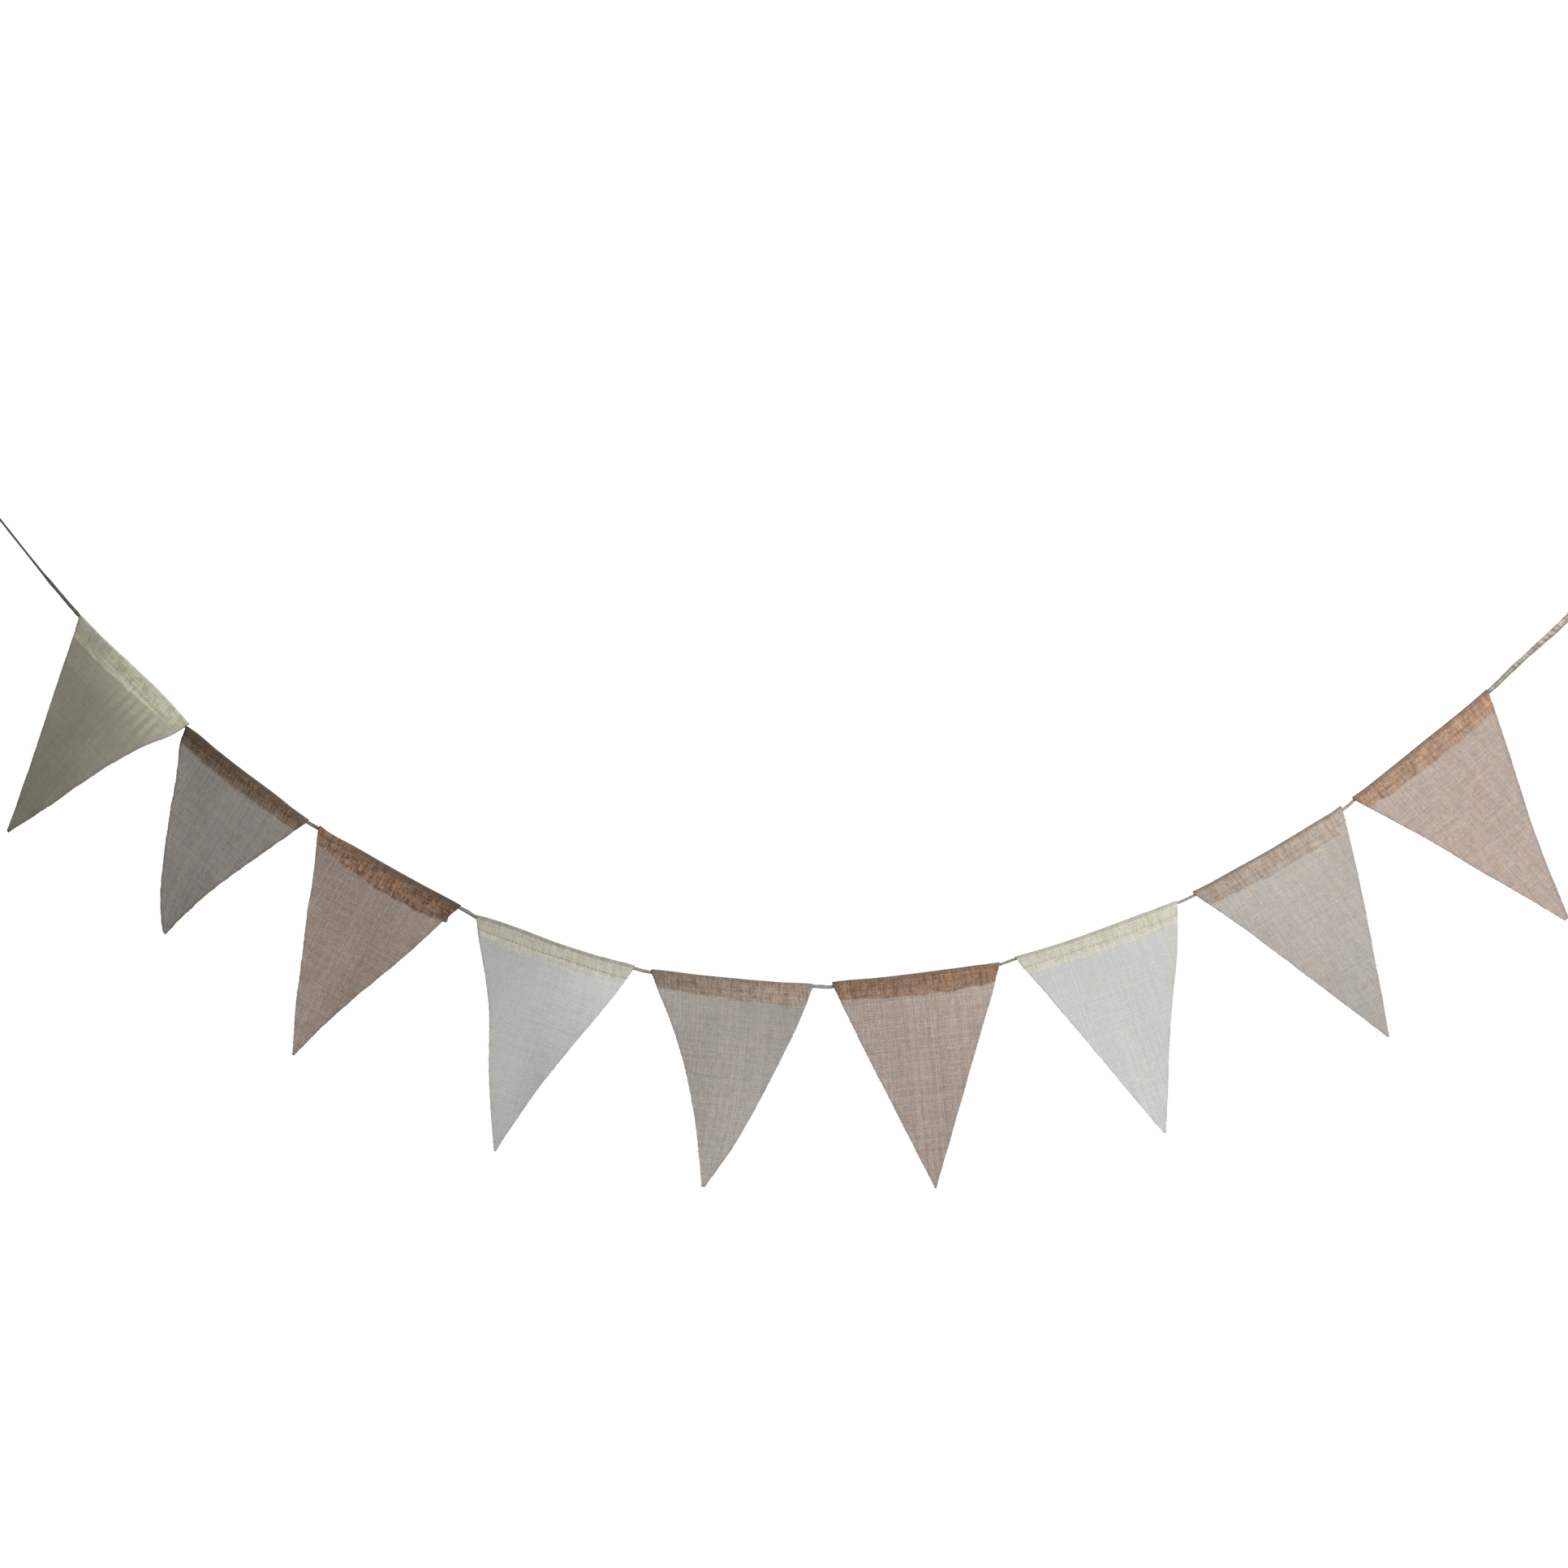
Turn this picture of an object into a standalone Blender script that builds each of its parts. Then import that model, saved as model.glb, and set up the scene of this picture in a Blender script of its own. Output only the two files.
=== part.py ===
"""Fabric bunting: nine triangular pennants of open plain-weave cloth on one carrying cord.

Each pennant is one piece of cloth. Its top edge is folded over the cord to the back and sewn down, so the
solid is one long section: raw edge of the flap, up behind, round the cord, down in front, and on to the tip.
The cord hangs in a slack curve and ends on each side in a loop made by turning its own end back.
X runs along the bunting, Z is up, and -Y is the front. The origin is where a hook bears in the left loop.
"""

import math

import bpy
import numpy as np

MM = 0.001

# Cloth and hem, in millimetres
CLOTH_THICKNESS = 1.0
FOLD_RADIUS = 1.85
LAYER_OFFSET = 0.66
STITCH_DEPTH = 9.0
TIP_WIDTH = 2.5
CURL_RAMP = 1.6
COLUMNS = 12
BODY_ROWS = 13
MIDDLE_LINE_STEPS = 180

# Cord, in millimetres
CORD_RADIUS = 1.0
CORD_RADIUS_LEFT_TAIL = 1.3
CORD_RADIUS_RIGHT_TAIL = 2.6
CORD_SPACING = 29.0
CORD_SMOOTHING = 9.0
CORD_SEARCH_STEPS = 6000
LEFT_TAPER = (-40.0, -30.0)
RIGHT_TAPER = (22.0, 80.0)
LEFT_LOOP_BASE = (18.5, -22.2)
LEFT_LOOP_LENGTH = 30.0
LEFT_LOOP_HALF_WIDTH = 8.0
RIGHT_LOOP_BASE = (1375.0, -117.8)
RIGHT_LOOP_LENGTH = 34.0
RIGHT_LOOP_HALF_WIDTH = 12.0
LOOP_POINTS = 11
TURNED_BACK_END = 15.0
STRAND_GAP = 0.4

# One row per pennant, in millimetres and degrees.
# x, z: the left end of its top fold, on the cord's centre line; slope: rise of the top fold.
# sag: how far the cord hangs under that straight line in the middle.
# width: along the cord; depth: cord to tip, along the cloth.
# swing: the tip's turn to the right in the pennant's own plane; bow: how far its middle stands to the right.
# sway: the same for an S-bend, upper half to the right and lower half to the left.
# lean_top, lean_tip: how far the cloth tips to the front, at the cord and at the tip.
# turn: how far the right side goes back at the tip; curl: bend across the cloth, in 1/m, sides to the front.
# hollow: how far each long side is drawn in at the middle.
PENNANT_COLUMNS = (
    "name", "x", "z", "slope", "sag", "width", "depth",
    "swing", "bow", "sway", "lean_top", "lean_tip", "turn", "curl", "hollow",
)
PENNANT_ROWS = (
    ("pennant_1", 97.0, -117.0, -44.1, -0.8, 134.5, 181.5, 4.6, -1.4, 0.0, 2.0, -5.0, -10.0, 5.0, 1.9),
    ("pennant_2", 194.3, -212.3, -37.8, 1.0, 135.0, 181.0, 4.9, -4.6, 1.2, -6.0, -33.0, -8.0, 4.0, -0.8),
    ("pennant_3", 312.0, -300.0, -28.7, 0.3, 142.0, 181.5, 2.1, -2.6, 0.0, 1.0, 7.0, -5.0, 3.0, 0.8),
    ("pennant_4", 452.0, -376.5, -18.1, 1.4, 143.0, 183.5, 2.5, 0.0, 2.2, 1.0, 9.0, 4.0, 7.0, 2.2),
    ("pennant_5", 604.0, -422.0, -5.0, 0.6, 138.0, 181.2, -3.5, 7.8, 0.0, 3.0, -9.0, -4.0, -6.0, 0.8),
    ("pennant_6", 761.0, -431.5, 6.9, 0.6, 140.0, 181.6, -1.8, 0.3, 0.0, 0.0, -5.0, 3.0, 3.0, 0.0),
    ("pennant_7", 914.5, -409.0, 19.4, 1.4, 141.5, 178.4, -0.4, 0.0, 0.4, -1.0, -7.0, 5.0, 3.0, -0.3),
    ("pennant_8", 1063.5, -355.0, 30.3, 1.0, 141.5, 179.8, 2.7, 1.3, 0.0, 1.0, 6.0, -3.0, -4.0, 0.0),
    ("pennant_9", 1194.5, -275.0, 38.6, 0.6, 141.0, 183.2, 0.7, -0.5, 0.0, 0.0, 8.0, 4.0, 4.0, 1.2),
)

# One row per pennant: depth of the flap's raw edge under the cord at its left end, middle and right end,
# and how far its lower right corner stands out past the pennant's side, in millimetres.
FLAP_COLUMNS = ("left", "middle", "right", "corner")
FLAP_ROWS = (
    (19.0, 15.5, 13.5, 0.0),
    (14.0, 15.5, 15.0, 0.0),
    (11.5, 19.5, 17.0, 3.5),
    (14.5, 16.5, 13.0, 0.0),
    (11.5, 15.5, 17.0, 0.0),
    (14.5, 15.5, 16.0, 0.0),
    (14.5, 13.5, 11.5, 0.0),
    (12.5, 15.0, 14.0, 0.0),
    (12.5, 17.5, 14.5, 0.0),
)

# Base colours, one per cloth and one for the cord
CLOTH_COLOURS = (
    ("cream cloth", (0.62, 0.60, 0.50)),
    ("taupe cloth", (0.40, 0.36, 0.32)),
    ("brown cloth", (0.42, 0.31, 0.25)),
)
CORD_COLOUR = (0.40, 0.37, 0.32)


def table(columns, rows):
    """Each row as a dictionary with the columns' names."""
    return [dict(zip(columns, row)) for row in rows]


def smooth_step(x):
    """0 to 1 with level ends."""
    x = np.clip(x, 0.0, 1.0)
    return x * x * (3.0 - 2.0 * x)


def unit(degrees):
    """Unit vector in the XZ plane at an angle over +X."""
    a = math.radians(degrees)
    return np.array((math.cos(a), math.sin(a)))


def line_corners(pennants):
    """Both ends and the middle of every top fold and the two loop bases, from left to right, as X and Z."""
    points = [np.array(LEFT_LOOP_BASE)]
    for row in pennants:
        start = np.array((row["x"], row["z"]))
        end = start + row["width"] * unit(row["slope"])
        points.append(start)
        points.append(0.5 * (start + end) + row["sag"] * unit(row["slope"] - 90.0))
        points.append(end)
    points.append(np.array(RIGHT_LOOP_BASE))
    return np.array(points)


def smooth_line(corners):
    """The cord's centre line at 1 mm steps: straight runs between the corners, rounded where they meet."""
    steps = np.linalg.norm(np.diff(corners, axis=0), axis=1)
    at = np.concatenate(([0.0], np.cumsum(steps)))
    along = np.linspace(0.0, at[-1], int(at[-1]) + 1)
    line = np.stack([np.interp(along, at, corners[:, k]) for k in (0, 1)], axis=1)
    reach = int(3 * CORD_SMOOTHING)
    weights = np.exp(-0.5 * (np.arange(-reach, reach + 1) / CORD_SMOOTHING) ** 2)
    weights /= weights.sum()
    first = line[0] - np.arange(reach, 0, -1)[:, None] * (line[1] - line[0])
    last = line[-1] + np.arange(1, reach + 1)[:, None] * (line[-1] - line[-2])
    padded = np.concatenate((first, line, last))
    return np.stack([np.convolve(padded[:, k], weights, "valid") for k in (0, 1)], axis=1)


def arc_lengths(points):
    """Distance along a line of points from its first one."""
    return np.concatenate(([0.0], np.cumsum(np.linalg.norm(np.diff(points, axis=0), axis=1))))


class CarryingLine:
    """The cord between its loops, as straight steps of about CORD_SPACING."""

    def __init__(self, pennants):
        smooth = smooth_line(line_corners(pennants))
        along = arc_lengths(smooth)
        count = int(round(along[-1] / CORD_SPACING)) + 1
        stations = np.linspace(0.0, along[-1], count)
        self.points = np.stack([np.interp(stations, along, smooth[:, k]) for k in (0, 1)], axis=1)
        self.along = arc_lengths(self.points)

    def at(self, distance):
        """X and Z at a distance along the cord."""
        return [np.interp(distance, self.along, self.points[:, k]) for k in (0, 1)]

    def nearest(self, point):
        """Distance along the cord of the place nearest to a point."""
        fine = np.linspace(0.0, self.along[-1], CORD_SEARCH_STEPS)
        x, z = self.at(fine)
        return fine[np.argmin((x - point[0]) ** 2 + (z - point[1]) ** 2)]


def flap_depth(flap, u):
    """Depth of the raw edge across the flap: a parabola through its left, middle and right depths."""
    left, middle, right = flap["left"], flap["middle"], flap["right"]
    return middle + 0.5 * (right - left) * u + (0.5 * (left + right) - middle) * u * u


def half_width(row, t):
    """Half of the cloth's width at depth t: straight from the fold to the tip, less the drawn-in sides."""
    part = np.clip(t / row["depth"], 0.0, 1.0)
    straight = 0.5 * row["width"] * (1.0 - part) + 0.5 * TIP_WIDTH * part
    return straight - row["hollow"] * 4.0 * part * (1.0 - part)


def cloth_surface(row, line, s, t, n):
    """World position of cloth at s across from its middle, t down from the cord and n behind its plane.

    The middle line starts on the cord and turns evenly on its way down: sideways by swing and bow, to the
    front by the lean. Across it the cloth lies on an arc that tightens from the cord downwards, turned a
    little about the middle line. Along its top the cloth follows the cord's own curve.
    """
    part = np.clip(t / row["depth"], 0.0, 1.0)
    steps = np.linspace(0.0, 1.0, MIDDLE_LINE_STEPS + 1)
    side = math.radians(row["swing"]) + 4.0 * row["bow"] / row["depth"] * (1.0 - 2.0 * steps)
    side += 2.0 * math.pi * row["sway"] / row["depth"] * np.cos(2.0 * math.pi * steps)
    lean = np.radians(row["lean_top"] + (row["lean_tip"] - row["lean_top"]) * steps)
    run = np.stack((np.sin(side) * np.cos(lean), -np.sin(lean), -np.cos(side) * np.cos(lean)))
    moved = np.zeros_like(run)
    moved[:, 1:] = np.cumsum(0.5 * (run[:, 1:] + run[:, :-1]), axis=1) * row["depth"] / MIDDLE_LINE_STEPS
    middle = [np.interp(part, steps, moved[k]) for k in range(3)]
    down = [np.interp(part, steps, run[k]) for k in range(3)]
    over = np.minimum(t, 0.0)
    middle = [middle[k] + over * down[k] for k in range(3)]

    turn = np.radians(row["turn"]) * part
    across = (np.cos(turn), np.sin(turn), np.zeros_like(turn))
    normal = (
        across[1] * down[2] - across[2] * down[1],
        across[2] * down[0] - across[0] * down[2],
        across[0] * down[1] - across[1] * down[0],
    )
    size = np.sqrt(normal[0] ** 2 + normal[1] ** 2 + normal[2] ** 2)
    normal = [component / size for component in normal]

    bend = row["curl"] * MM * smooth_step(CURL_RAMP * part) + 1e-9
    sideways = np.sin(bend * s) / bend
    forward = (1.0 - np.cos(bend * s)) / bend
    local = []
    for k in range(3):
        back = np.cos(bend * s) * normal[k] + np.sin(bend * s) * across[k]
        local.append(middle[k] + sideways * across[k] - forward * normal[k] + n * back)
    local[0] = local[0] - s

    cord_x, cord_z = line.at(line.nearest((row["x"], row["z"])) + 0.5 * row["width"] + s)
    ahead = unit(row["slope"])
    x = cord_x + local[0] * ahead[0] - local[2] * ahead[1]
    z = cord_z + local[0] * ahead[1] + local[2] * ahead[0]
    return np.stack((x, local[1], z), axis=-1)


def section(depth, flap):
    """Depth and offset of each row of the folded cloth's section at one place across it.

    The rows run from the flap's raw edge up behind the cord, over it, down in front and on to the tip.
    """
    back = np.array((1.0, 0.6, 0.0)) * (flap - STITCH_DEPTH) + STITCH_DEPTH
    behind = np.concatenate((back, STITCH_DEPTH * np.array((0.66, 0.36))))
    arc = np.radians((0.0, 45.0, 90.0, 135.0, 180.0))
    front = STITCH_DEPTH * np.array((0.36, 0.66, 1.0))
    body = STITCH_DEPTH + (depth - STITCH_DEPTH) * np.linspace(0.0, 1.0, BODY_ROWS + 1)[1:]
    t = np.concatenate((behind, -FOLD_RADIUS * np.sin(arc), front, body))
    spread = LAYER_OFFSET + (FOLD_RADIUS - LAYER_OFFSET) * (1.0 - smooth_step(t / STITCH_DEPTH))
    sign = np.where(np.arange(len(t)) < len(behind), 1.0, -1.0)
    n = spread * sign
    n[len(behind):len(behind) + len(arc)] = FOLD_RADIUS * np.cos(arc)
    return t, n, len(behind)


def pennant_grid(row, flap, line):
    """The middle surface of one folded pennant as a grid of points: rows down the section, columns across."""
    u = np.linspace(-1.0, 1.0, COLUMNS + 1)
    columns = [section(row["depth"], depth) for depth in flap_depth(flap, u)]
    t = np.stack([column[0] for column in columns], axis=1)
    n = np.stack([column[1] for column in columns], axis=1)
    behind = columns[0][2]
    s = u * half_width(row, t)
    stand_out = np.clip(1.0 - np.arange(len(t)) / 2.0, 0.0, 1.0) * (np.arange(len(t)) < behind)
    s = s + flap["corner"] * stand_out[:, None] * np.clip(4.0 * u - 3.0, 0.0, 1.0)
    return cloth_surface(row, line, s, t, n) * MM


def make_material(name, colour):
    """A plain rough Principled material."""
    material = bpy.data.materials.new(name)
    material.use_nodes = True
    shader = material.node_tree.nodes["Principled BSDF"]
    shader.inputs["Base Color"].default_value = (*colour, 1.0)
    shader.inputs["Roughness"].default_value = 0.9
    return material


def add_cloth(name, grid, material):
    """One closed solid: the grid as a surface with CLOTH_THICKNESS laid evenly on both sides of it."""
    rows, columns = grid.shape[:2]
    number = np.arange(rows * columns).reshape(rows, columns)
    faces = np.stack((number[:-1, :-1], number[1:, :-1], number[1:, 1:], number[:-1, 1:]), axis=-1)
    mesh = bpy.data.meshes.new(name)
    mesh.from_pydata(grid.reshape(-1, 3).tolist(), [], faces.reshape(-1, 4).tolist())
    mesh.update()
    mesh.materials.append(material)
    cloth = bpy.data.objects.new(name, mesh)
    bpy.context.scene.collection.objects.link(cloth)
    thickness = cloth.modifiers.new("cloth thickness", "SOLIDIFY")
    thickness.thickness = CLOTH_THICKNESS * MM
    thickness.offset = 0.0
    thickness.use_even_offset = True
    thickness.use_rim = True
    return cloth


def loop_points(base, outward, side, length, half, apart):
    """Centre line of an end loop, from its base out, round and back beside the standing part.

    The loop is a drop: out by half a cosine wave, sideways by a sine that starts gently at both ends. The end
    comes back at the strand gap and lies along the standing part.
    """
    phase = np.linspace(0.0, 2.0 * math.pi, LOOP_POINTS + 1)[1:]
    out = length * 0.5 * (1.0 - np.cos(phase))
    wide = half * np.sin(phase) * np.sin(0.5 * phase) - apart * phase / (2.0 * math.pi)
    out = np.concatenate((out, (-0.5 * TURNED_BACK_END, -TURNED_BACK_END)))
    wide = np.concatenate((wide, (-apart, -apart)))
    return np.array(base) + out[:, None] * outward + wide[:, None] * side


def cord_route(line, pennants):
    """Every point of the cord in X and Z with its radius, from the left loop's end to the right one's."""
    left_out = line.points[0] - line.points[1]
    left_out /= np.linalg.norm(left_out)
    right_out = line.points[-1] - line.points[-2]
    right_out /= np.linalg.norm(right_out)
    left_side = np.array((left_out[1], -left_out[0]))
    right_side = np.array((-right_out[1], right_out[0]))
    left_apart = 2.0 * CORD_RADIUS_LEFT_TAIL + STRAND_GAP
    right_apart = 2.0 * CORD_RADIUS_RIGHT_TAIL + STRAND_GAP
    left = loop_points(
        line.points[0], left_out, left_side, LEFT_LOOP_LENGTH, LEFT_LOOP_HALF_WIDTH, left_apart
    )
    right = loop_points(
        line.points[-1], right_out, right_side, RIGHT_LOOP_LENGTH, RIGHT_LOOP_HALF_WIDTH, right_apart
    )
    first = line.nearest((pennants[0]["x"], pennants[0]["z"]))
    last = line.nearest((pennants[-1]["x"], pennants[-1]["z"])) + pennants[-1]["width"]
    stations = [first + taper for taper in LEFT_TAPER] + [last + taper for taper in RIGHT_TAPER]
    radii = (CORD_RADIUS_LEFT_TAIL, CORD_RADIUS, CORD_RADIUS, CORD_RADIUS_RIGHT_TAIL)
    along = np.interp(line.along, stations, radii)
    points = np.concatenate((left[::-1], line.points, right))
    radius = np.concatenate(
        (np.full(len(left), CORD_RADIUS_LEFT_TAIL), along, np.full(len(right), CORD_RADIUS_RIGHT_TAIL))
    )
    return points, radius


def add_cord(name, points, radius):
    """The cord as a curve with a round section and closed ends."""
    curve = bpy.data.curves.new(name, "CURVE")
    curve.dimensions = "3D"
    curve.bevel_depth = CORD_RADIUS * MM
    curve.bevel_resolution = 2
    curve.use_fill_caps = True
    spline = curve.splines.new("POLY")
    spline.points.add(len(points) - 1)
    for place, (x, z), size in zip(spline.points, points, radius):
        place.co = (x * MM, 0.0, z * MM, 1.0)
        place.radius = size / CORD_RADIUS
    curve.materials.append(make_material("braided cotton", CORD_COLOUR))
    cord = bpy.data.objects.new(name, curve)
    bpy.context.scene.collection.objects.link(cord)
    return cord


def build():
    """Clear the scene and add the nine pennants and the cord."""
    for old in list(bpy.data.objects):
        bpy.data.objects.remove(old, do_unlink=True)
    pennants = table(PENNANT_COLUMNS, PENNANT_ROWS)
    flaps = table(FLAP_COLUMNS, FLAP_ROWS)
    line = CarryingLine(pennants)
    for place, (row, flap) in enumerate(zip(pennants, flaps)):
        cloth, colour = CLOTH_COLOURS[place % len(CLOTH_COLOURS)]
        grid = pennant_grid(row, flap, line)
        add_cloth(row["name"], grid, make_material(f"{cloth} {place + 1}", colour))
    points, radius = cord_route(line, pennants)
    add_cord("cord", points, radius)


build()
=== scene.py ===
import math

import bmesh
import bpy
import numpy as np
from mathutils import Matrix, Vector


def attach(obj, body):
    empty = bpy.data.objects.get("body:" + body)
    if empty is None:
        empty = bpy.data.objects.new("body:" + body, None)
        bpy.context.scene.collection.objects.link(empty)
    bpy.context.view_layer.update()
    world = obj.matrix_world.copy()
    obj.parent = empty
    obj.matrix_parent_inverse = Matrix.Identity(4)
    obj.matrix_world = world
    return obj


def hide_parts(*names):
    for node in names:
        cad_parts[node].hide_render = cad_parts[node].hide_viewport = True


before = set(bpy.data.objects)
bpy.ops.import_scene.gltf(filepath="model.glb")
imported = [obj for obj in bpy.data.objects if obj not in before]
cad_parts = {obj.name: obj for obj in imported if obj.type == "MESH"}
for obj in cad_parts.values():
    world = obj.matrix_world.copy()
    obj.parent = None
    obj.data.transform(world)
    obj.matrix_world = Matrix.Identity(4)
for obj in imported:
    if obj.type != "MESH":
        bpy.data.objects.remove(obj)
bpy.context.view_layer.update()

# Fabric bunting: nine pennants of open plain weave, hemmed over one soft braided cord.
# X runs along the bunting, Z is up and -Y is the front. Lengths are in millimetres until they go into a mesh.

MM = 0.001
TURN = 2.0 * math.pi
BODY = "root"

# Camera: target and distance in metres, yaw in degrees, lens and sensor in millimetres
CAMERA_TARGET = (0.7177, 0.0, -0.262)
CAMERA_DISTANCE = 2.590
CAMERA_YAW = 7.0
CAMERA_LENS = 70.0
CAMERA_SENSOR = 36.0

# Studio: the floor's middle and its rings as radius and height in millimetres; each light's name, its place,
# aim and size in metres, and its watts; how strong the white room shines and how bright the camera sees it
FLOOR_MIDDLE_X = 710.0
FLOOR_RINGS = ((1.0, -1380.0), (500.0, -1380.0), (1000.0, -1380.0), (1590.0, -1380.0), (1600.0, -1386.0))
FLOOR_SIDES = 96
LIGHTS = (
    ("key light", (1.75, -1.35, 0.25), (0.95, 0.0, -0.4), 0.8, 30.0),
    ("back light", (0.4, 2.0, 0.8), (0.7, 0.0, -0.35), 1.6, 60.0),
)
ROOM_LIGHT = 0.14
ROOM_SEEN = 1.05

# Cloth and hem: sizes, then the rows and columns of the cloth's grid
CLOTH_THICKNESS = 0.6
FOLD_RADIUS = 1.85
LAYER_OFFSET = 0.5
STITCH_DEPTH = 9.0
TIP_WIDTH = 2.5
CURL_RAMP = 1.6
ALMOST_FLAT = 1e-9
BELOW_HEM = 12.0
SOFT_WAVE_SLANT = 0.35
SOFT_WAVE_RAMP = 90.0
CREASE_RAMP = 6.0
CREASE_FADE = 26.0
PUCKER_REACH = 5.0
SIDE_ROLL_REACH = 4.0
FLAP_LIFT = 0.45
FLAP_LIFT_RAMP = 8.0
SIDE_WAVE_POWER = 6
COLUMNS = 96
FLAP_GRID_ROWS = 8
HEM_GRID_ROWS = 6
FOLD_GRID_ROWS = 9
BODY_GRID_ROWS = 84
MIDDLE_LINE_STEPS = 180

# Waves that the cloth and the cord carry: height, how many sines, and the shortest and longest of them.
# Those of the creases, the raw flap and the sides are multiplied by a height from SEWING_ROWS, and the cord's
# is a share of its thickness.
WAVES = {
    "soft across": (0.45, 3, 42.0, 90.0),
    "soft down": (0.3, 2, 60.0, 120.0),
    "pucker": (0.13, 3, 6.5, 11.0),
    "crease across": (1.0, 3, 9.0, 17.0),
    "crease down": (1.0, 2, 14.0, 26.0),
    "side roll": (0.35, 3, 14.0, 40.0),
    "seam": (0.3, 3, 25.0, 70.0),
    "raw flap": (1.0, 5, 14.0, 60.0),
    "flap lift": (0.35, 4, 18.0, 55.0),
    "side": (1.0, 5, 12.0, 60.0),
    "cord": (0.05, 5, 9.0, 60.0),
}

# What is added to a pennant's seed for each thing that is drawn at random
FIRST_SEED = 410
SEED_STEPS = {
    "ripple": 0, "seam": 100, "flap": 200, "cloth": 300, "stitches": 400, "threads": 500, "creases": 609,
}

# Cord
CORD_RADIUS_LEFT_LOOP = 0.95
CORD_RADIUS_RIGHT_LOOP = 2.6
CORD_FLAT_HALF = 1.2
CORD_SPACING = 29.0
CORD_SMOOTHING = 9.0
CORD_SEARCH_STEPS = 6000
CORD_RING_STEP = 0.6
CORD_SIDES = 18
CORD_STRANDS = 3.0
CORD_BLUNT_END = 1.2
BRAID_PITCH = 4.4
BRAID_PITCH_GROWTH = 1.6
BRAID_AT_SIDES = 0.05
BRAID_ON_FACES = 0.09
LEFT_LOOP_BASE = (18.5, -22.2)
LEFT_LOOP_LENGTH = 30.0
LEFT_LOOP_HALF_WIDTH = 8.0
RIGHT_LOOP_BASE = (1375.0, -117.8)
RIGHT_LOOP_LENGTH = 34.0
RIGHT_LOOP_HALF_WIDTH = 12.0
LOOP_POINTS = 11
TURNED_BACK_END = 7.5
STRAIGHT_NEAR_LOOP = (4.0, 12.0)
STRAND_GAP = 0.4

# For each loop, the number of its point on the line and of the next one, its side and the cord's radius
LOOP_ENDS = ((0, 1, 1.0, CORD_RADIUS_LEFT_LOOP), (-1, -2, -1.0, CORD_RADIUS_RIGHT_LOOP))

# One row per pennant, in millimetres and degrees.
# x, z: the left end of its top fold, on the cord's centre line; slope: rise of the top fold.
# sag: how far the cord hangs under that straight line in the middle.
# width: along the cord; depth: cord to tip, along the cloth.
# swing: the tip's turn to the right in the pennant's own plane; bow: how far its middle stands to the right.
# sway: the same for an S-bend, upper half to the right and lower half to the left.
# lean_top, lean_tip: how far the cloth tips to the front, at the cord and at the tip.
# turn: how far the right side goes back at the tip; curl: bend across the cloth, in 1/m, sides to the front.
# hollow: how far each long side is drawn in at the middle.
PENNANT_COLUMNS = (
    "name", "x", "z", "slope", "sag", "width", "depth",
    "swing", "bow", "sway", "lean_top", "lean_tip", "turn", "curl", "hollow",
)
PENNANT_ROWS = (
    ("pennant_1", 97.0, -117.0, -44.1, -0.8, 134.5, 181.5, 4.6, -1.4, 0.0, 2.0, -5.0, -10.0, 5.0, 1.9),
    ("pennant_2", 194.3, -212.3, -37.8, 1.0, 135.0, 181.0, 4.9, -4.6, 1.2, -6.0, -33.0, -8.0, 4.0, -0.8),
    ("pennant_3", 312.0, -300.0, -28.7, 0.3, 142.0, 181.5, 2.1, -2.6, 0.0, 1.0, 7.0, -5.0, 3.0, 0.8),
    ("pennant_4", 452.0, -376.5, -18.1, 1.4, 143.0, 183.5, 2.5, 0.0, 2.2, 1.0, 9.0, 4.0, 7.0, 2.2),
    ("pennant_5", 604.0, -422.0, -5.0, 0.6, 138.0, 181.2, -3.5, 7.8, 0.0, 3.0, -9.0, -4.0, -6.0, 0.8),
    ("pennant_6", 761.0, -431.5, 6.9, 0.6, 140.0, 181.6, -1.8, 0.3, 0.0, 0.0, -5.0, 3.0, 3.0, 0.0),
    ("pennant_7", 914.5, -409.0, 19.4, 1.4, 141.5, 178.4, -0.4, 0.0, 0.4, -1.0, -7.0, 5.0, 3.0, -0.3),
    ("pennant_8", 1063.5, -355.0, 30.3, 1.0, 141.5, 179.8, 2.7, 1.3, 0.0, 1.0, 6.0, -3.0, -4.0, 0.0),
    ("pennant_9", 1194.5, -275.0, 38.6, 0.6, 141.0, 183.2, 0.7, -0.5, 0.0, 0.0, 8.0, 4.0, 4.0, 1.2),
)

# Depth of the flap's raw edge under the cord at its left end, middle and right end, and how far its lower
# right corner stands out past the pennant's side.
FLAP_COLUMNS = ("left", "middle", "right", "corner")
FLAP_ROWS = (
    (15.0, 15.3, 9.2, 0.0),
    (15.0, 15.2, 12.7, 0.0),
    (12.5, 21.0, 18.5, 3.5),
    (14.5, 16.5, 13.0, 0.0),
    (13.0, 17.0, 18.5, 0.0),
    (14.0, 17.0, 14.5, 0.0),
    (15.5, 16.8, 16.0, 0.0),
    (13.0, 16.5, 15.5, 0.0),
    (14.0, 15.7, 14.0, 0.0),
)

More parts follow.
